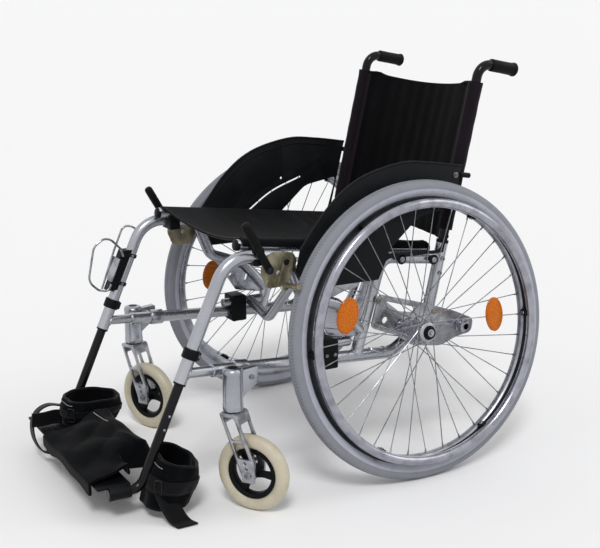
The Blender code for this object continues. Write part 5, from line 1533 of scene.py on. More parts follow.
@dataclass
class RearWheels(Assembly):
    """The spoked rear wheels with tyres, hand rims, axles and reflectors."""

    section_r: float = 0.0175
    rim_low: float = 0.2536
    rim_top: float = 0.2712
    hand_rim_r: float = 0.259
    hand_tube_r: float = 0.0094
    hand_rim_x: float = 0.032
    tabs: int = 6
    tab_phase: float = math.radians(28.6)
    flange_r: float = 0.024
    flange_in: float = -0.034
    flange_out: float = 0.016
    spokes: int = 36
    crosses: int = 3
    spoke_r: float = 0.001
    spoke_gap: float = 0.0025
    nipple: tuple[Pair, ...] = (
        (0.0, 0.0), (0.0, 0.0022), (0.0045, 0.0021), (0.005, 0.0017), (0.0085, 0.0015),
        (0.0085, 0.0),
    )
    lens: tuple[Pair, ...] = (
        (0.0, 0.0), (0.0, 0.96), (0.0008, 1.0), (0.003, 1.0), (0.0042, 0.965), (0.005, 0.9),
        (0.005, 0.0),
    )

    def tyre(self) -> Piece:
        """The tyre, with a flattened tread and a step from shoulder to wall."""
        middle = self.lines.wheel_r - self.section_r
        profile = []
        for step in range(28):
            angle = FULL_TURN * step / 28
            lift = math.cos(angle)
            swell = self.section_r * math.copysign(abs(lift) ** 0.9, lift)
            ridge = 0.0004 if 0.45 < lift < 0.65 else 0.0
            wide = (self.section_r + ridge) * math.sin(angle)
            profile.append((wide, middle + swell))
        return turned(profile, 144, closed=True)

    def rim(self) -> Piece:
        """The box-section rim with its hooked walls and spoke nipples."""
        f = self.finishes
        low, top = self.rim_low, self.rim_top
        half = [
            (0.0, low), (0.005, low + 0.0006), (0.0092, low + 0.0045), (0.0112, low + 0.011),
            (0.0115, top - 0.0014), (0.0108, top), (0.0094, top - 0.0004), (0.0086, top - 0.003),
            (0.004, top - 0.006),
        ]
        loop = half + [(-along, radius) for along, radius in half[:0:-1]]
        rim = dressed(turned(loop, 144, closed=True), f.anodised)
        # The outboard wall faces take the near-black finish: painted shade beside the tyre
        rim.data.materials.append(f.wall)
        for face in rim.data.polygons:
            face.material_index = int(abs(face.normal.x) > 0.6 and face.center.x > 0.009)
        nipple = dressed(turned(self.nipple, 10), f.stainless)
        placed(nipple, aim((0.0, 0.0, low + 0.001), DOWN))
        nipples = [nipple]
        for k in range(1, self.spokes):
            nipples.append(copied(nipple, Matrix.Rotation(-FULL_TURN * k / self.spokes, 4, "X")))
        return joined(rim, *nipples)

    def spoke(self, k: int) -> Piece:
        """One spoke with its bent head, by its number round the rim."""
        flange = self.flange_in if k % 2 else self.flange_out
        lead = 1 if (k // 2) % 2 else -1
        at_rim = FULL_TURN * k / self.spokes
        at_hub = at_rim - lead * self.crosses * 2.0 * FULL_TURN / self.spokes
        hole_r = self.flange_r - 0.0032

        def spot(x: float, r: float, angle: float) -> Vector:
            """A point of the wheel by its radius and angle."""
            return Vector((x, r * math.cos(angle), r * math.sin(angle)))

        head = spot(flange - lead * 0.0042, hole_r, at_hub)
        elbow = spot(flange + lead * 0.0036, hole_r, at_hub)
        end = spot(lead * 0.0008, self.rim_low - 0.002, at_rim)
        wire = rod(bent([head, elbow, end], [0.0022], 4), self.spoke_r, 8)
        knob = bolt(Head.ROUND, head, (-lead, 0, 0), 0.0021, 0.0012)
        return joined(wire, knob)

    def hub(self) -> Piece:
        """The hub shell with both flanges and all the spokes."""
        f = self.finishes
        inner, outer, r = self.flange_in, self.flange_out, self.flange_r
        profile = [
            (-0.046, 0.0068), (-0.046, 0.0125), (-0.045, 0.0135), (inner - 0.0045, 0.0145),
            (inner - 0.0038, 0.0175), (inner - 0.003, r - 0.0008), (inner - 0.002, r),
            (inner + 0.002, r), (inner + 0.003, r - 0.0008), (inner + 0.004, 0.018),
            (inner + 0.007, 0.016), (-0.014, 0.0155), (-0.004, 0.0155), (outer - 0.007, 0.016),
            (outer - 0.004, 0.018), (outer - 0.003, r - 0.0008), (outer - 0.002, r),
            (outer + 0.002, r), (outer + 0.003, r - 0.0008), (outer + 0.0034, 0.0185),
            (outer + 0.005, 0.019), (0.0225, 0.0205), (0.0245, 0.02), (0.028, 0.015),
        ]
        shell = dressed(turned([*profile, (0.028, 0.0068)], 64, closed=True), f.cast)
        seal = collar((0.0262, 0, 0), (0.0284, 0, 0), 0.0115, 0.0146)
        parts = [shell, dressed(seal, f.moulding)]
        for k in range(4):
            first = dressed(self.spoke(k), f.stainless)
            parts.append(first)
            for repeat in range(1, self.spokes // 4):
                turn = FULL_TURN * 4 * repeat / self.spokes
                parts.append(copied(first, Matrix.Rotation(turn, 4, "X")))
        return joined(*parts)

    def hand_rim(self) -> Piece:
        """The hand rim with the black tabs and screws that hold it off the rim."""
        f = self.finishes
        x, ring_r, tube_r = self.hand_rim_x, self.hand_rim_r, self.hand_tube_r
        turns = [FULL_TURN * step / 20 for step in range(20)]
        profile = [(x + tube_r * math.sin(a), ring_r - tube_r * math.cos(a)) for a in turns]
        parts = [dressed(turned(profile, 144, closed=True), f.polished)]
        tab = brick((0.0114, -0.0068, 0.2475), (0.0285, 0.0068, 0.2705), 0.0022, 3)
        dressed(tab, f.moulding)
        screw = bolt(Head.ROUND, (0.02, 0.0, 0.2478), DOWN, 0.004, 0.0022)
        tab = joined(tab, dressed(screw, f.stainless))
        for k in range(self.tabs):
            turn = Matrix.Rotation(FULL_TURN * k / self.tabs - self.tab_phase, 4, "X")
            parts.append(copied(tab, turn))
        bpy.data.objects.remove(tab, do_unlink=True)
        return joined(*parts)

    def axle(self) -> Piece:
        """The quick-release axle with its cap."""
        f = self.finishes
        tip = self.lines.along_axle(self.lines.plate_x) - 0.0124
        profile = [
            (tip, 0.0), (tip, 0.0045), (tip + 0.0024, 0.00635), (0.0283, 0.00635), (0.0283, 0.0078),
            (0.034, 0.0078), (0.0346, 0.007), (0.0346, 0.0044),
        ]
        pin = dressed(turned([*profile, (0.0173, 0.0044), (0.0173, 0.0)], 40), f.cast)
        cap = collar((0.0283, 0, 0), (0.0343, 0, 0), 0.0076, 0.0116)
        return joined(pin, dressed(cap, f.moulding))

    def button(self) -> Piece:
        """The release button in the end of the axle."""
        profile = [(0.0206, 0.0), (0.0206, 0.004), (0.0366, 0.004), (0.038, 0.003), (0.0383, 0.0)]
        return dressed(turned(profile, 24), self.finishes.cast)

    def reflector(self, angle: float) -> Piece:
        """An oval reflector clipped to the outer spokes.

        Args:
            angle: Where it is round the wheel.

        Returns:
            The new mesh, in the wheel's frame.
        """
        f = self.finishes
        rim_r, reach = 0.2545, 0.183
        share = (reach - self.flange_r) / (rim_r - self.flange_r)
        lift = self.flange_out * (1.0 - share) - self.spoke_gap + 0.0007
        lean = math.atan(self.flange_out / (rim_r - self.flange_r))
        lens = placed(turned(self.lens, 48), Matrix.Diagonal((1.0, 0.023, 0.036, 1.0)))
        dressed(lens, f.amber)
        turns = [FULL_TURN * k / 40 for k in range(40)]
        ridge = [(0.0049, 0.0205 * math.cos(a), 0.0325 * math.sin(a)) for a in turns]
        lens = joined(lens, dressed(rod(ridge, 0.0009, 8, closed=True), f.amber))
        place = Matrix.Rotation(angle, 4, "X") @ Matrix.Translation((lift, reach, 0.0))
        return placed(lens, place @ Matrix.Rotation(lean, 4, "Z"))

    def build(self) -> None:
        """Fit both wheels."""
        parts = (
            (self.tyre(), "tyre", "wheel", "rear_tyre", "grey_tyre"),
            (self.rim(), "wheel_rim", "wheel", "rear_rim", "bare_alloy"),
            (self.hub(), "hub_and_spokes", "wheel", "rear_hub", "bare_alloy"),
            (self.hand_rim(), "hand_rim", "wheel", "push_rim", "bare_alloy"),
            (self.axle(), "quick_axle", "axle", "axle_pin", "zinc_steel"),
            (self.button(), "axle_button", "button", "release_button", "black_plastic"),
            (self.reflector(math.radians(3.0)), "lens_a", "wheel", "reflector_a", "orange_lens"),
            (self.reflector(math.radians(162.5)), "lens_b", "wheel", "reflector_b", "orange_lens"),
        )
        pairs = [self.fit_both(piece, *names, self.lines.wheel_place) for piece, *names in parts]
        shift = Matrix.Translation((0.0, self.lines.axle_y, 0.0))
        for side, tyre in pairs[0].items():
            dressed(tyre, tyre_finish(side, shift @ self.lines.wheel_place(side)))


# Axle plates, guards and brakes


@dataclass
class AxlePlates(Assembly):
    """The alloy plates that carry the rear axles."""

    thick: float = 0.005
    outline: tuple[Pair, ...] = (
        (-0.056, 0.067), (0.062, 0.032), (0.141, 0.004), (0.188, -0.018), (0.183, -0.047),
        (0.143, -0.052), (0.104, -0.066), (0.031, -0.055), (-0.012, -0.026), (-0.074, -0.002),
    )
    window: tuple[Pair, ...] = ((-0.039, 0.05), (0.037, 0.027), (0.029, 0.017), (-0.006, 0.024))
    bolts: tuple[Pair, ...] = ((-0.058, 0.055), (-0.062, 0.004), (0.083, 0.013), (0.078, -0.044))
    spare: Pair = (0.152, -0.026)

    def build(self) -> None:
        """Fit both plates with their receivers, sockets and bolts."""
        lines, f = self.lines, self.finishes
        place = lines.wheel_place(Side.LEFT)
        axle_z = place.translation.z
        inner = lines.frame_x + lines.tube_r + 0.0003
        outer = inner + self.thick
        plate = sheet_metal([(y, axle_z + z) for y, z in self.outline], inner, outer, 0.01, 5)
        low, high = inner - PAST, outer + PAST
        window = sheet_metal([(y, axle_z + z) for y, z in self.window], low, high, 0.004)
        hole = bar((low, -0.04, axle_z + 0.01), (high, -0.04, axle_z + 0.01), 0.007)
        eased(cut(plate, window, hole), 0.0009)
        parts = [dressed(plate, f.milled)]
        # A raised rib follows the plate's upper edge to the second socket
        rib = [
            (outer - 0.0006, y, axle_z + z)
            for y, z in ((0.045, -0.012), (0.095, -0.018), (0.13, -0.024))
        ]
        parts.append(dressed(rod(rib, 0.0032, 12), f.milled))

        def along(distance: float) -> Vector:
            """A point on the axle."""
            return place @ Vector((distance, 0.0, 0.0))

        foot = lines.along_axle(inner)
        receiver = collar(along(foot + 0.001), along(-0.0464), 0.0066, 0.0135, 40)
        nut = collar(along(foot - 0.01), along(foot + 0.004), 0.0066, 0.0165, 6)
        ring = collar(along(foot + 0.004), along(foot + 0.0095), 0.0125, 0.0185, 40)
        y, z = self.spare[0], axle_z + self.spare[1]
        socket = collar((inner + 0.001, y, z), (outer + 0.022, y, z), 0.0066, 0.0132, 40)
        socket_ring = collar((outer - 0.001, y, z), (outer + 0.007, y, z), 0.012, 0.0165, 6)
        lip = collar((outer + 0.0165, y, z), (outer + 0.0221, y, z), 0.009, 0.0145, 40)
        for part in (receiver, nut, ring, socket, socket_ring, lip):
            parts.append(dressed(sound(part), f.polished))
        bore = bar((inner + 0.002, y, z), (outer + 0.006, y, z), 0.0066)
        parts.append(dressed(bore, f.moulding))
        for bolt_y, bolt_z in self.bolts:
            spot = Vector((outer - 0.0002, bolt_y, axle_z + bolt_z))
            washer = bolt(Head.ROUND, spot, OUT, 0.0078, 0.0012)
            head = bolt(Head.HEX, spot + Vector((0.001, 0, 0)), OUT, 0.0058, 0.0034)
            parts += [dressed(washer, f.stainless), dressed(head, f.zinc)]
        self.fit_both(joined(*parts), "mount_plate", "frame", "axle_plate", "bare_alloy")


@dataclass
class Guards(Assembly):
    """The side guards between the seat and the wheels."""

    standoff: float = 0.008
    thick: float = 0.003
    behind: tuple[Pair, ...] = ((0.05, -0.06), (0.02, -0.022), (0.029, 0.021))
    edge: tuple[Pair, ...] = (
        (-0.176, 0.565), (-0.108, 0.612), (-0.014, 0.635), (0.059, 0.631), (0.14, 0.619)
    )
    base: tuple[Pair, ...] = ((0.098, 0.4405), (-0.036, 0.4425), (-0.044, 0.4385), (-0.062, 0.402))
    cutout: tuple[Pair, ...] = ((-0.045, 0.453), (0.033, 0.521), (0.119, 0.536), (0.092, 0.446))
    slot: tuple[Pair, ...] = ((-0.137, 0.46), (-0.061, 0.512), (0.02, 0.543))
    corner: Pair = (0.124, 0.6)

    def build(self) -> None:
        """Fit both guards with their rolled edge, slot, cut-out and screws."""
        lines, f = self.lines, self.finishes
        inner = lines.frame_x + lines.tube_r + self.standoff
        outer = inner + self.thick
        x = (inner + outer) / 2.0
        pivot_y, pivot_z = lines.shoe_pivot
        front = [(pivot_y + y, pivot_z + z) for y, z in self.behind]
        top = flowing([(x, *spot) for spot in (front[-1], *self.edge)], 6)
        outline = [(spot.y, spot.z) for spot in top] + [*self.base, *front[:-1]]
        panel = sheet_metal(outline, inner, outer)
        middle = flowing([(x, *spot) for spot in self.slot], 8)
        upper = [(p.y - 0.0012, p.z + 0.0019) for p in middle]
        lower = [(p.y + 0.0012, p.z - 0.0019) for p in middle[::-1]]
        low, high = inner - PAST, outer + PAST
        tools = [sheet_metal(upper + lower, low, high)]
        tools.append(sheet_metal(self.cutout, low, high, 0.012, 5))
        for y, z in ((-0.168, 0.47), (-0.158, 0.476), (-0.032, 0.543)):
            tools.append(bar((low, y, z), (high, y, z), 0.003, 16))
        dressed(eased(cut(panel, *tools), 0.0006, 2), f.guard)
        bead = dressed(rod([(x, p.y, p.z - 0.0012) for p in top], 0.0026, 12), f.guard)
        parts = [panel, bead]
        # A pressed rib runs 14 mm inside the rolled edge
        inside = [Vector((inner - 0.0002, p.y + 0.002, p.z - 0.014)) for p in top[4:-3]]
        parts.append(dressed(rod(inside, 0.0014, 10), f.guard))
        for y in lines.guard_bolts:
            z = lines.rail_z(y)
            boss = bar((lines.frame_x + lines.tube_r, y, z), (inner + 0.001, y, z), 0.007, 24)
            ear = bar((inner, y, z), (outer, y, z), 0.0105, 24, 0.0005)
            parts += [dressed(boss, f.moulding), dressed(ear, f.guard)]
            parts.append(dressed(bolt(Head.ROUND, (outer, y, z), OUT, 0.0062, 0.0025), f.stainless))
        # The screw and the stub pin at the guard's rear corner
        washer = bolt(Head.ROUND, (outer, *self.corner), OUT, 0.0062, 0.0014)
        screw = bolt(Head.SOCKET, (outer + 0.001, *self.corner), OUT, 0.004, 0.003)
        parts += [dressed(washer, f.stainless), dressed(screw, f.zinc)]
        stub = bar((x, 0.136, 0.6), (x, 0.16, 0.596), 0.0055, 20)
        parts.append(dressed(stub, f.moulding))
        self.fit_both(joined(*parts), "guard_panel", "frame", "side_guard", "black_plastic")


@dataclass
class Brakes(Assembly):
    """The wheel brakes: bracket, lever and shoe."""

    lever_pivot: Pair = (-0.309, 0.45)
    lever_lean: float = math.radians(30.0)
    tyre_r: float = 0.305
    knurl_r: float = 0.0055
    gap: float = 0.0006
    shoe_z: float = 0.427
    outline: tuple[Pair, ...] = (
        (-0.0475, 0.007), (-0.029, 0.022), (0.017, 0.017), (0.026, -0.001), (0.004, -0.048),
        (-0.04, -0.049), (-0.054, -0.017),
    )

    def contact(self) -> Vector:
        """Middle of the shoe bar, where it stands in front of the tyre."""
        place = self.lines.wheel_place(Side.LEFT)
        reach = self.tyre_r + self.knurl_r + self.gap
        rise = (self.shoe_z - place.translation.z) / math.cos(self.lines.camber)
        return place @ Vector((0.0, -math.sqrt(reach**2 - rise**2), rise))

    def bracket(self) -> Piece:
        """The zinc-plated bracket with its rivets and clamp bolts."""
        f = self.finishes
        low, high = self.lines.plate_x, self.lines.plate_x + 0.004
        py, pz = self.lines.shoe_pivot
        plate = sheet_metal([(py + y, pz + z) for y, z in self.outline], low, high, 0.007, 4)
        y, z = py - 0.016, pz - 0.02
        hole = bar((low - PAST, y, z), (high + PAST, y, z), 0.0045)
        parts = [dressed(eased(cut(plate, hole), 0.0007), f.zinc)]
        for (y, z), reach in ((self.lever_pivot, 0.0119), (self.lines.shoe_pivot, 0.0076)):
            shank = bar((high - 0.001, y, z), (low + reach + 0.0002, y, z), 0.004)
            head = bolt(Head.ROUND, (low + reach, y, z), OUT, 0.0065, 0.0015)
            parts += [dressed(shank, f.zinc), dressed(head, f.oxide)]
        for y, z in ((py - 0.04, pz - 0.036), (py - 0.006, pz - 0.038)):
            parts.append(dressed(bolt(Head.HEX, (high, y, z), OUT, 0.0055, 0.003), f.zinc))
        return joined(*parts)

    def lever(self) -> Piece:
        """The lever with its rubber grip."""
        f = self.finishes
        low, high = self.lines.plate_x + 0.0076, self.lines.plate_x + 0.0116
        lean = Vector((0.0, -math.sin(self.lever_lean), math.cos(self.lever_lean)))
        pivot = Vector((0.0, *self.lever_pivot))
        end = pivot + lean * 0.052
        side = Vector((0.0, lean.z, -lean.y)) * 0.0075
        corners = [
            pivot - side - lean * 0.0075, pivot + side - lean * 0.0075, end + side, end - side
        ]
        plate = sheet_metal([(p.y, p.z) for p in corners], low, high, 0.007, 5)
        plate = dressed(eased(plate, 0.0007), f.moulding)
        profile = [
            (0.0, 0.0), (0.0, 0.0078), (0.0012, 0.0088), (0.004, 0.0088), (0.0052, 0.008),
            (0.012, 0.0084), (0.04, 0.0088), (0.058, 0.0088), (0.0625, 0.008), (0.065, 0.006),
        ]
        grip = turned([*profile, (0.066, 0.003), (0.066, 0.0)], 28)
        middle = Vector(((low + high) / 2.0 + 0.0044, 0.0, 0.0))
        placed(grip, aim(pivot + lean * 0.046 + middle, lean))
        return joined(plate, dressed(grip, f.rubber))

    def shoe(self) -> Piece:
        """The knurled shoe bar on its arm."""
        f = self.finishes
        low, high = self.lines.plate_x + 0.0043, self.lines.plate_x + 0.0073
        contact = self.contact()
        along = (self.lines.wheel_place(Side.LEFT).to_3x3() @ Vector((1.0, 0.0, 0.0))).normalized()
        start = contact + along * ((low + 0.001 - contact.x) / along.x)
        pivot = Vector((start.x, *self.lines.shoe_pivot))
        way = (Vector((0.0, start.y, start.z)) - Vector((0.0, pivot.y, pivot.z))).normalized()
        side = Vector((0.0, -way.z, way.y)) * 0.0065
        corners = [
            pivot - way * 0.0065 - side, pivot - way * 0.0065 + side, start + way * 0.0065 + side,
            start + way * 0.0065 - side,
        ]
        arm = sheet_metal([(p.y, p.z) for p in corners], low, high, 0.006, 5)
        arm = dressed(eased(arm, 0.0006), f.zinc)
        length = (contact + along * 0.0175 - start).length
        profile = [(0.0, 0.0), (0.0, 0.0045)]
        count = 9
        for k in range(count):
            foot = 0.004 + k * (length - 0.008) / count
            profile += [(foot, 0.0048), (foot + 0.0015, self.knurl_r), (foot + 0.004, self.knurl_r)]
        knurl = turned([*profile, (length - 0.001, 0.005), (length, 0.004), (length, 0.0)], 24)
        return joined(arm, dressed(placed(knurl, aim(start, along)), f.zinc))

    def build(self) -> None:
        """Fit both brakes."""
        self.fit_both(self.bracket(), "brake_mount", "frame", "brake_bracket", "zinc_steel")
        self.fit_both(self.lever(), "brake_handle", "lever", "brake_lever", "black_plastic")
        self.fit_both(self.shoe(), "brake_bar", "shoe", "brake_shoe", "zinc_steel")


# Scissor


@dataclass
class Scissor(Assembly):
    """The folding cross under the seat."""

    pivot_x: float = 0.196
    pivot_z: float = 0.271
    brace_r: float = 0.011
    sleeve_r: float = 0.01
    sleeve_y: Pair = (-0.205, -0.109)
    bolt_r: float = 0.005
    knee: Pair = (0.1, 0.25)
    cross_z: float = 0.345
    elbow: Pair = (0.12, 0.41)
    first_y: float = -0.112
    spacing: float = 0.0245
    seat_front: float = -0.365
    seat_rear: float = 0.088
    plug: tuple[Pair, ...] = (
        (0.0, 0.0), (0.0, 0.0085), (0.0012, 0.0104), (0.0045, 0.0112), (0.009, 0.0112), (0.009, 0.0)
    )

    def brace(self, side: int, y: float) -> Piece:
        """One brace with its pivot sleeve below and its seat tube above.

        Args:
            side: The sign of X where its foot is.
            y: Where it stands along the chair.

        Returns:
            The new mesh.
        """
        lines, f = self.lines, self.finishes

        def at(x: float, z: float) -> Vector:
            """A point in the brace's plane, on its foot's side."""
            return Vector((side * x, y, z))

        foot, seat = at(self.pivot_x - 0.0015, self.pivot_z), at(-lines.seat_x, lines.seat_z(y))
        corners = [
            foot, at(*self.knee), at(0.0, self.cross_z), at(-self.elbow[0], self.elbow[1]), seat
        ]
        path = bent(corners, [0.03, 0.08, 0.03])
        tube = rod(path, self.brace_r, 28)
        pivot_x, pivot_z, sleeve_r = side * self.pivot_x, self.pivot_z, self.sleeve_r
        ends = [(pivot_x, end, pivot_z) for end in self.sleeve_y]
        sleeve = bar(*ends, sleeve_r, 28)
        x, rail_r = -side * lines.seat_x, lines.seat_tube_r
        front, rear = self.seat_front, self.seat_rear
        ends = (x, front + 0.004, lines.seat_z(front)), (x, rear - 0.003, lines.seat_z(rear))
        rail = bar(*ends, rail_r, 28)
        up, down = path[-2] - seat, path[1] - foot
        beads = [
            weld((x, y, lines.seat_z(y)), (0, 1, lines.rail_slope), rail_r, seat, up, self.brace_r),
            weld((pivot_x, y, pivot_z), (0, 1, 0), sleeve_r, foot, down, self.brace_r),
        ]
        metal = joined(*[dressed(part, f.silver) for part in (tube, sleeve, rail, *beads)])
        run = Vector((0.0, 1.0, lines.rail_slope)).normalized()
        plugs = []
        for end, way in ((front, 1.0), (rear, -1.0)):
            start = Vector((x, end, lines.seat_z(end)))
            plug = placed(turned(self.plug, 28), aim(start, run * way))
            plugs.append(dressed(plug, f.moulding))
        return joined(metal, *plugs)

    def pin(self) -> Piece:
        """The bolt through both braces, with its spacer, head and nut."""
        f = self.finishes
        rear = self.first_y + self.brace_r + 0.0003
        front = self.first_y - self.spacing - self.brace_r - 0.0003
        z, r, tube = self.cross_z, self.bolt_r, 2.0 * self.brace_r + 0.0006
        spacer = collar((0, front + tube, z), (0, rear - tube, z), r, 0.009)
        steel = [bar((0, front, z), (0, rear, z), r)]
        steel += [
            bolt(Head.HEX, (0, y, z), (0, w, 0), 0.0088, 0.004) for y, w in ((front, -1), (rear, 1))
        ]
        steel = joined(*[dressed(part, f.zinc) for part in steel])
        return joined(steel, dressed(spacer, f.moulding))

    def build(self) -> None:
        """Fit the two braces and their bolt."""
        rear = self.brace(1, self.first_y)
        front = self.brace(-1, self.first_y - self.spacing)
        self.fit(rear, "scissor_tube_a", "brace_a", "brace_a", slot="silver_lacquer")
        self.fit(front, "scissor_tube_b", "brace_b", "brace_b", slot="silver_lacquer")
        self.fit(self.pin(), "scissor_bolt", "brace_a", "brace_bolt", slot="zinc_steel")


# Slings


@dataclass
class Slings(Assembly):
    """The seat and back upholstery."""

    seat_front: float = -0.352
    seat_rear: float = 0.082
    sag: float = 0.022
    back_top: float = 0.785
    sleeve_foot: float = 0.484
    back_foot: float = 0.4625
    back_sag: float = 0.028
    top_sag: float = 0.016
    curl: float = 0.01
    sleeve_r: float = 0.0136
    pleats: int = 5
    back_half: float = 0.1968
    sleeve_x: float = 0.1815
    folded: float = 0.3895

    def wrapped(self) -> tuple[float, float, float, float]:
        """How the seat cloth leaves a seat tube.

        Returns:
            The radius and angle of its wrap, and the X and height where its free span starts.
        """
        seat_x = self.lines.seat_x
        radius = self.lines.seat_tube_r + 0.0022
        wrap = math.pi / 2.0 + math.atan(2.0 * self.sag / seat_x)
        return radius, wrap, seat_x + radius * math.cos(wrap), radius * math.sin(wrap)

    def seat(self) -> Piece:
        """The seat cloth: wrapped over both seat tubes and pulled across between them."""
        lines = self.lines
        radius, wrap, edge_x, edge_z = self.wrapped()
        width = 2.0 * (edge_x + radius * wrap)
        length = self.seat_rear - self.seat_front

        def lie(u: float, v: float) -> Vector:
            """Place of a point of the seat."""
            run = (u - 0.5) * width
            side, run = math.copysign(1.0, run), abs(run)
            y = self.seat_front + length * v
            if run > edge_x:
                turn = wrap - (run - edge_x) / radius
                x, z = lines.seat_x + radius * math.cos(turn), radius * math.sin(turn)
            else:
                x, share = run, run / edge_x
                bow = 1.0 - share**2
                z = edge_z - self.sag * bow
                pull = math.sin(math.pi * min(share * 1.15, 1.0)) * share
                fold = math.sin(y * 145.0 + 2.2 * math.sin(y * 31.0) + share * 2.0 * side)
                z += 0.0011 * fold * (0.25 + pull) * min(1.0, bow * 6.0)
                front = max(0.0, 1.0 - v * 9.0)
                y += self.curl * bow * front
            return Vector((side * x, y, lines.seat_z(y) + z))

        return cloth((72, 64), (width, length), lie, 0.0028)

    def seat_hem(self, v: float) -> Piece:
        """A rolled hem across the seat cloth.

        Args:
            v: 0 for the front edge and 1 for the rear one.

        Returns:
            The new mesh.
        """
        lines = self.lines
        _, _, edge_x, edge_z = self.wrapped()
        y = self.seat_front + 0.004 if v == 0.0 else self.seat_rear - 0.004
        points = []
        for k in range(25):
            x = edge_x * (2.0 * k / 24 - 1.0)
            bow = 1.0 - (x / edge_x) ** 2
            line_y = y + (self.curl * bow if v == 0.0 else 0.0)
            points.append((x, line_y, lines.seat_z(line_y) + edge_z - self.sag * bow))
        return rod(points, 0.003, 10)

    def back_line(self, share: float) -> float:
        """How far behind the canes the back cloth hangs at a share of its half width."""
        return self.back_sag * (1.0 - share**2)

    def back(self) -> Piece:
        """The back panel, with faint pleats between the sleeves."""
        lines, f = self.lines, self.finishes
        height = self.back_top - self.back_foot

        def lie(u: float, v: float) -> Vector:
            """Place of a point of the back."""
            share = 2.0 * u - 1.0
            bow = 1.0 - share**2
            level = self.back_foot + height * v
            pleat = 0.0007 * math.cos(FULL_TURN * self.pleats * share) * bow
            fold = 0.0004 * math.sin(level * 60.0 + 3.0 * math.sin(share * 4.0)) * bow
            valley = 0.0022 * math.exp(-(((abs(share) - 0.87) / 0.05) ** 2))
            y = lines.back_y(level) + self.back_line(share) + pleat + fold + valley
            drop = self.top_sag * bow * max(0.0, (v - 0.5) * 2.0) ** 2
            return Vector((share * self.back_half, y, level - drop))

        panel = dressed(cloth((96, 72), (2.0 * self.back_half, height), lie, 0.0056), f.back)
        panel.data.materials.append(f.sleeve)
        for face in panel.data.polygons:
            face.material_index = int(abs(face.center.x) > self.sleeve_x)
        return panel

    def sleeve(self) -> Piece:
        """The left sleeve over its cane, a little slack round it."""
        lines = self.lines
        low, high = lines.on_back(self.sleeve_foot), lines.on_back(self.back_top)
        up = (high - low).normalized()
        level = Vector((1.0, 0.0, 0.0))
        back = up.cross(level)

        def lie(u: float, v: float) -> Vector:
            """Place of a point of the sleeve."""
            angle = FULL_TURN * u
            slack = 0.00015 * math.sin(v * 40.0 + 2.0 * math.sin(angle)) * (1.0 + math.cos(angle))
            radius = self.sleeve_r + slack + 0.0008 * math.exp(-(((1.0 - v) / 0.03) ** 2))
            out = level * math.cos(angle) + back * math.sin(angle)
            return low.lerp(high, v) + out * radius

        return cloth((36, 60), (FULL_TURN * self.sleeve_r, (high - low).length), lie, 0.0022)

    def top_hem(self) -> Piece:
        """The rolled hem along the top of the back panel."""
        points = []
        for k in range(33):
            share = 2.0 * k / 32 - 1.0
            bow = 1.0 - share**2
            level = self.back_top
            roll = 0.004 * math.exp(-(((abs(share) - 0.84) / 0.08) ** 2))
            y = self.lines.back_y(level) + self.back_line(share)
            points.append(
                (share * (self.back_half - 0.001), y, level - self.top_sag * bow - 0.003 + roll)
            )
        return rod(points, 0.0038, 12)

    def build(self) -> None:
        """Fit the seat and the back."""
        f = self.finishes
        seat = dressed(self.seat(), f.seat)
        hems = [dressed(self.seat_hem(v), f.webbing) for v in (0.0, 1.0)]
        self.fit(seat, "seat_cloth", "", "seat_sling", slot="black_nylon")
        hem = self.fit(joined(*hems), "seat_hems", "", slot="black_webbing")
        for piece in (seat, hem):
            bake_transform(piece)
        back = self.back()
        back = self.fit(back, "back_cloth", "frame_left", "back_sling", slot="black_nylon")
        top = self.fit(
            dressed(self.top_hem(), f.back), "back_hem", "frame_left", slot="black_nylon"
        )
        for piece in (back, top):
            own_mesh(piece)
        sleeve = dressed(self.sleeve(), f.sleeve)
        for side, piece in ((Side.LEFT, sleeve), (Side.RIGHT, mirrored(sleeve))):
            word = side.word
            self.fit(piece, f"back_sleeve_{word}", f"frame_{word}", slot="black_nylon")


# Footrest


@dataclass
class Footrest(Assembly):
    """The telescoping foot tubes and the footplate."""

    tube_r: float = 0.0095
    level: float = 0.056
    front: float = -0.642
    plate_front: float = -0.662
    plate_rear: float = -0.5965

    def rod(self) -> Piece:
        """The left foot tube, from inside the leg down and forward under the plate."""
        lines, f = self.lines, self.finishes
        high = lines.leg_foot[1] + 0.09 * lines.leg_axis().z
        points = [lines.on_leg(high), lines.on_leg(self.level), lines.at(self.front, self.level)]
        tube = rod(bent(points, [0.03], 12), self.tube_r, 28)
        parts = [dressed(tube, f.black)]
        # Press buttons for the height setting
        for z in (0.19, 0.165):
            spot = lines.on_leg(z) + Vector((self.tube_r - 0.0006, 0, 0))
            parts.append(dressed(bolt(Head.ROUND, spot, OUT, 0.003, 0.0016), f.stainless))
        return joined(*parts)

    def board(self) -> Piece:
        """The footplate with its collar and grip ribs."""
        lines, f = self.lines, self.finishes
        low = self.level + self.tube_r + 0.0003
        x, front, rear, r = lines.frame_x, self.plate_front, self.plate_rear, self.tube_r
        plate = brick((-x - 0.016, front, low), (x, rear, low + 0.0052), 0.0015)
        ends = (x, self.front + 0.0015, self.level), (x, rear - 0.0015, self.level)
        sleeve = collar(*ends, r + 0.0002, r + 0.0038)
        rib = brick(
            (-0.19, front + 0.008, low + 0.0046), (0.18, front + 0.0105, low + 0.006), 0.0006, 1
        )
        ribs = [rib] + [copied(rib, Matrix.Translation((0, 0.0075 * k, 0))) for k in range(1, 7)]
        return joined(*[dressed(part, f.moulding) for part in (plate, sleeve, *ribs)])

    def build(self) -> None:
        """Fit the foot tubes and the footplate."""
        self.fit_both(self.rod(), "foot_rod", "foot", "foot_tube", "black_lacquer")
        self.fit(self.board(), "foot_board", "plate", "footplate", slot="black_plastic")


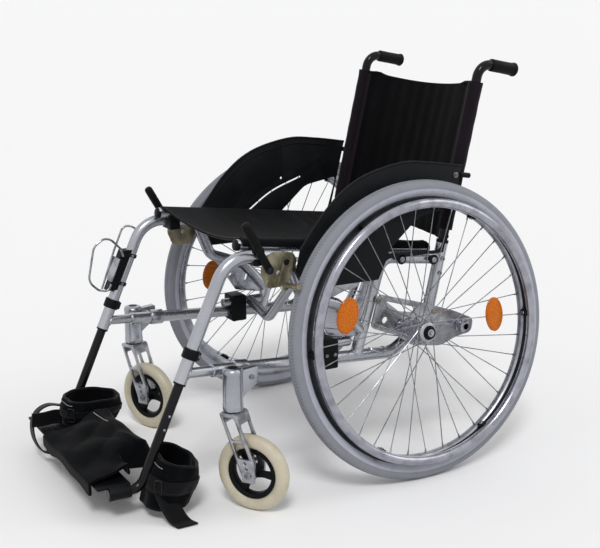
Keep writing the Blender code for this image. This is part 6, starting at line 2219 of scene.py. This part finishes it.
@dataclass(frozen=True)
class CuffShape:
    """The oval sleeve of one foot cuff."""

    centre: Pair
    half: Pair
    low: float
    high: float
    lean: float
    folds: float
    tip: float

    def spot(self, u: float, v: float, out: float = 0.0) -> Vector:
        """A point on the cuff.

        Args:
            u: Share of the way round.
            v: Share of the height.
            out: How far outside the cloth.

        Returns:
            The point.
        """
        angle = FULL_TURN * u
        crease = 0.0014 * math.sin(5.0 * angle + 5.0 * v) + 0.0009 * math.sin(8.0 * angle - 9.0 * v)
        swell = 0.004 * math.sin(math.pi * v) - 0.0026 + self.folds * crease + out
        # The sides are flatter than an ellipse's, as a padded cuff's are
        square = 1.0 / (abs(math.cos(angle)) ** 2.6 + abs(math.sin(angle)) ** 2.6) ** (1 / 2.6)
        x = self.centre[0] + (self.half[0] + swell) * math.cos(angle) * min(square, 1.06)
        y = self.centre[1] + (self.half[1] + swell) * math.sin(angle) * min(square, 1.06)
        # The top rim drops towards the outer rear
        drop = 0.5 + 0.25 * math.cos(angle) + 0.43 * math.sin(angle)
        wave = 0.0014 * math.sin(2.0 * angle + 0.8) - self.tip * drop
        z = self.low + (self.high - self.low + wave) * v
        return Vector((x, y + self.lean * (z - self.low), z))

    def girth(self) -> float:
        """How far it is round the cuff."""
        points = [self.spot(k / 48, 0.5) for k in range(49)]
        return sum((b - a).length for a, b in zip(points, points[1:]))


@dataclass
class Cuffs(Assembly):
    """The cloth cuffs and straps on the footrest."""

    heel: CuffShape = CuffShape((0.212, -0.53), (0.0478, 0.044), 0.0225, 0.123, 0.3, 0.8, 0.03)
    shin: CuffShape = CuffShape((-0.1482, -0.552), (0.044, 0.06), 0.0735, 0.1265, 0.2, 0.9, 0.008)
    tail: tuple[Triple, ...] = (
        (0.243, -0.545, 0.06), (0.258, -0.541, 0.038), (0.268, -0.535, 0.018),
        (0.281, -0.528, 0.0055), (0.299, -0.521, 0.0034),
    )
    tongue: tuple[Triple, ...] = (
        (-0.15, -0.6, 0.084), (-0.151, -0.625, 0.089), (-0.15, -0.652, 0.088),
        (-0.149, -0.676, 0.09),
    )
    throw: tuple[Pair, ...] = (
        (-0.6685, 0.056), (-0.6685, 0.074), (-0.65, 0.0765), (-0.615, 0.08), (-0.585, 0.092),
        (-0.558, 0.104), (-0.536, 0.103), (-0.522, 0.083), (-0.522, 0.058),
    )
    loop: tuple[Triple, ...] = (
        (-0.178, -0.6, 0.101), (-0.178, -0.63, 0.108), (-0.176, -0.655, 0.099),
        (-0.17, -0.669, 0.078), (-0.158, -0.672, 0.052), (-0.14, -0.668, 0.034),
        (-0.122, -0.66, 0.026), (-0.104, -0.645, 0.03),
    )
    throw_size: Pair = (0.276, 0.275)
    throw_start: float = -0.09

    def band(self, shape: CuffShape) -> Piece:
        """The cuff's padded cloth."""
        size = (shape.girth(), shape.high - shape.low)
        return dressed(cloth((96, 20), size, shape.spot, 0.0052), self.finishes.cuff)

    def trim(self, shape: CuffShape) -> list[Piece]:
        """Bindings on both rims, a strap round the cuff, its buckle and a line of stitches."""
        f = self.finishes
        parts = []
        for v in (0.01, 0.99):
            rim = [shape.spot(k / 64, v) for k in range(64)]
            parts.append(dressed(rod(rim, 0.0031, 10, closed=True), f.webbing))
        size = (0.024, shape.girth())

        def lie(u: float, v: float) -> Vector:
            """Place of a point of the strap."""
            return shape.spot(v, 0.5 + (u - 0.5) * 0.3, 0.004)

        parts.append(dressed(cloth((6, 96), size, lie, 0.0018), f.webbing))
        seam = [shape.spot(0.55 + 0.3 * k / 24, 0.86, 0.003) for k in range(25)]
        parts.append(dressed(rod(seam, 0.0005, 6), f.thread))
        middle = shape.spot(0.86, 0.5, 0.0056)
        out = middle - shape.spot(0.86, 0.5, -0.01)
        frame = [
            (0.0, -0.007, -0.014), (0.0, 0.007, -0.014), (0.0, 0.007, 0.014), (0.0, -0.007, 0.014)
        ]
        frame = bent([*frame, frame[0]], [0.003, 0.003, 0.003], 4)
        buckle = rod(frame, 0.0013, 8)
        parts.append(dressed(placed(buckle, aim(middle, out)), f.oxide))
        return parts

    def throw_spot(self, u: float, v: float) -> Vector:
        """A point on the cloth that lies bunched over the footplate.

        Args:
            u: Share of the way from the right to the left.
            v: Share of the way from its hanging front edge to its rear edge.

        Returns:
            The point.
        """
        x = self.throw_start + self.throw_size[0] * u
        low, share = step_of(self.throw, v)
        a, b = self.throw[low], self.throw[low + 1]
        share = share * share * (3.0 - 2.0 * share) * 0.3 + share * 0.7
        y, z = a[0] + (b[0] - a[0]) * share, a[1] + (b[1] - a[1]) * share
        # The heap is highest next to the left cuff and thins out at both ends
        near = min(max((x - 0.128) / 0.032, 0.0), 1.0)
        crest = math.exp(-(((x - 0.075) / 0.075) ** 2))
        lift = math.sin(math.pi * v) ** 2
        lump = 0.5 * math.sin(31.0 * x + 5.0 * v) + 0.5 * math.sin(52.0 * x - 9.0 * v + 1.0)
        ridge = 0.0035 * abs(math.sin(38.0 * x + 7.0 * v))
        ridge += 0.0025 * abs(math.sin(23.0 * x - 15.0 * v))
        z += lift * (0.014 * crest + 0.0055 * lump + ridge) + 0.006 * lump * (1.0 - v) ** 8
        if y > -0.59:
            y += (-0.59 - y) * near + 0.004 * lump * (1.0 - near)
            z += (0.08 - z) * near if z > 0.08 else (0.0795 - z) * near
        return Vector((x, y, z))

    def throw_cloth(self) -> tuple[Piece, Piece]:
        """The cloth over the footplate, with its pale line of stitches."""
        f = self.finishes
        heap = cloth((64, 56), self.throw_size, self.throw_spot, 0.0058)
        seam = []
        for k in range(25):
            spot = self.throw_spot(0.04 + 0.28 * k / 24, 0.6)
            seam.append(spot + Vector((0.0, -0.001, 0.0036)))
        return dressed(heap, f.cuff), dressed(rod(seam, 0.0007, 6), f.thread)

    def build(self) -> None:
        """Fit both cuffs with their straps and the cloth over the footplate."""
        f = self.finishes
        heel = self.fit(
            self.band(self.heel), "heel_cuff", "foot_left", "foot_cuff_left", slot="black_webbing"
        )
        tail = dressed(ribbon(flowing(self.tail, 6), (0.0, 1.0, 0.0), 0.04, 0.0026), f.webbing)
        trim = self.fit(
            joined(tail, *self.trim(self.heel)), "heel_straps", "foot_left", slot="black_webbing"
        )
        size = (self.heel.girth(), self.heel.high - self.heel.low)
        shin = self.fit(
            self.band(self.shin), "shin_cuff", "plate", "foot_cuff_right", slot="black_webbing"
        )
        loop = dressed(ribbon(flowing(self.loop, 6), (1.0, 0.0, 0.15), 0.024, 0.0028), f.webbing)
        front = dressed(ribbon(flowing(self.tongue, 6), (0.0, 0.1, 1.0), 0.03, 0.004), f.webbing)
        trim = self.fit(
            joined(front, loop, *self.trim(self.shin)), "shin_straps", "plate", slot="black_webbing"
        )
        size = (self.shin.girth(), self.shin.high - self.shin.low)
        heap, seam = self.throw_cloth()
        heap = self.fit(heap, "plate_cloth", "plate", slot="black_webbing")
        seam = self.fit(seam, "plate_seam", "plate", slot="black_webbing")
        for piece in (heap, seam):
            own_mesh(piece)


@dataclass
class WireRack(Assembly):
    """The bent-wire holder clamped to the right front leg."""

    wire_r: float = 0.0024
    bends: tuple[float, ...] = (0.01, 0.016, 0.026, 0.026, 0.018, 0.018, 0.012)
    wire_x: float = 0.02
    tongue_z: Pair = (0.356, 0.404)
    clamp_z: Pair = (0.335, 0.42)
    tall: tuple[Pair, ...] = (
        (-0.4815, 0.333), (-0.45, 0.4165), (-0.427, 0.4695), (-0.408, 0.466), (-0.392, 0.4545)
    )
    short: tuple[Pair, ...] = (
        (-0.474, 0.352), (-0.481, 0.3365), (-0.503, 0.3415), (-0.525, 0.3625), (-0.51, 0.4375),
        (-0.487, 0.4535), (-0.471, 0.4495), (-0.449, 0.4265), (-0.444, 0.41),
    )

    def build(self) -> None:
        """Fit the wires with their tongue, and the clamp with its screws."""
        lines, f = self.lines, self.finishes
        x = -lines.frame_x
        parts = []
        for line, side in ((self.tall, -1), (self.short, 1)):
            points = [(x + side * self.wire_x, y, z) for y, z in line]
            path = bent(points, self.bends[: len(points) - 2], 6)
            parts.append(dressed(rod(path, self.wire_r, 14), f.chrome))
        near = (lines.tube_r + 0.0002) / lines.leg_axis().z

        def shell(inside: float, outside: float, foot: float, head: float) -> list[Pair]:
            """The outline of what stands in front of the leg between two heights."""
            ends = [(lines.leg_y(z) - inside, z) for z in (foot, head)]
            return ends + [(lines.leg_y(z) - outside, z) for z in (head, foot)]

        outline = shell(near + 0.0133, near + 0.0168, *self.tongue_z)
        tongue = sheet_metal(outline, x - 0.0195, x + 0.0195)
        parts.append(dressed(eased(tongue, 0.001), f.chrome))
        self.fit(joined(*parts), "rack_wires", "frame_right", "wire_rack", slot="chromed_wire")
        ends = [Vector((x, lines.leg_y(z), z)) for z in self.clamp_z]
        up = (ends[1] - ends[0]).normalized()
        block = sheet_metal(shell(0.004, near + 0.013, *self.clamp_z), x - 0.0125, x + 0.0125)
        bore = bar(ends[0] - up * 0.03, ends[1] + up * 0.03, lines.tube_r + 0.0002, 32)
        parts = [dressed(eased(cut(block, bore), 0.001), f.moulding)]
        for share in (0.15, 0.85):
            middle = ends[0].lerp(ends[1], share)
            ring = collar(
                middle - up * 0.004, middle + up * 0.004, lines.tube_r + 0.0002,
                lines.tube_r + 0.0027,
            )
            parts.append(dressed(ring, f.moulding))
            seat = middle + Vector((lines.tube_r + 0.0023, 0.0, 0.0))
            parts.append(dressed(bolt(Head.SOCKET, seat, OUT, 0.0034, 0.0026), f.stainless))
        self.fit(joined(*parts), "rack_collar", "frame_right", "rack_clamp", slot="black_plastic")


# Studio


@dataclass(frozen=True)
class Studio:
    """A pale floor, soft light and the camera where the photograph was taken."""

    azimuth: float = 60.253
    elevation: float = 13.811
    eye: Triple = (2.0897, -1.1209, 0.9619)
    focal_share: float = 1141.7 / 600.0
    sensor: float = 36.0
    sky: float = 0.55

    def camera(self) -> None:
        """Add the camera."""
        bpy.ops.object.select_all(action="DESELECT")
        bpy.ops.object.camera_add(location=self.eye)
        camera = bpy.context.object
        turn, tilt = math.radians(self.azimuth), math.radians(self.elevation)
        way = Vector(
            (-math.sin(turn) * math.cos(tilt), math.cos(turn) * math.cos(tilt), -math.sin(tilt))
        )
        camera.rotation_euler = way.to_track_quat("-Z", "Y").to_euler()
        camera.data.sensor_width = self.sensor
        camera.data.lens = self.focal_share * self.sensor
        bpy.context.scene.camera = camera

    def floor(self) -> None:
        """Add the floor: matt, nearly white, and it keeps the chair's shadow."""
        bpy.ops.object.select_all(action="DESELECT")
        bpy.ops.mesh.primitive_plane_add(size=900.0, location=(0.0, 0.0, -0.0002))
        floor = bpy.context.object
        floor.name = "studio_floor"
        floor.data.materials.append(Finish("pale_matt_floor", "F8F8F9", 0.9).made())

    def lamps(self) -> None:
        """Add two soft suns and an even sky that the camera sees as white."""
        for name, way, strength, spread in (
            ("key_sun", (-0.62, 0.4, -0.95), 1.35, 16.0),
            ("fill_sun", (-0.35, -0.75, -0.6), 0.45, 40.0),
        ):
            bpy.ops.object.light_add(type="SUN")
            lamp = bpy.context.object
            lamp.name = name
            lamp.data.energy = strength
            lamp.data.angle = math.radians(spread)
            lamp.rotation_euler = Vector(way).to_track_quat("-Z", "Y").to_euler()
        world = bpy.data.worlds.new("studio_sky")
        world.use_nodes = True
        bpy.context.scene.world = world
        tree = world.node_tree
        add = partial(add_node, tree)
        rays = add("LightPath").node.outputs
        seen = rays["Is Camera Ray"]
        for kind in ("Is Glossy Ray", "Is Transmission Ray"):
            seen = add("Math", {0: seen, 1: rays[kind]}, operation="MAXIMUM")
        strength = add("MapRange", {"Value": seen, "To Min": self.sky, "To Max": 1.0})
        feed(tree.nodes["Background"], {"Color": linear("FFFFFF"), "Strength": strength})

    def build(self) -> None:
        """Set the studio up."""
        self.camera()
        self.floor()
        self.lamps()
        bpy.context.scene.view_settings.view_transform = "Standard"


def main() -> None:
    """Load the frame, dress every sub-assembly and set up the studio."""
    logging.basicConfig(level=logging.INFO, format="%(message)s")
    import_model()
    low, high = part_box("rear_tyre_left")
    lines = Layout(axle_y=(low.y + high.y) / 2.0)
    finishes = Finishes()
    Studio().build()
    for assembly in (
        SideFrames, PushHandles, Casters, RearWheels, AxlePlates, Guards, Brakes, Scissor, Slings,
        Footrest, Cuffs, WireRack,
    ):
        assembly(lines, finishes).build()


if __name__ == "__main__":
    main()
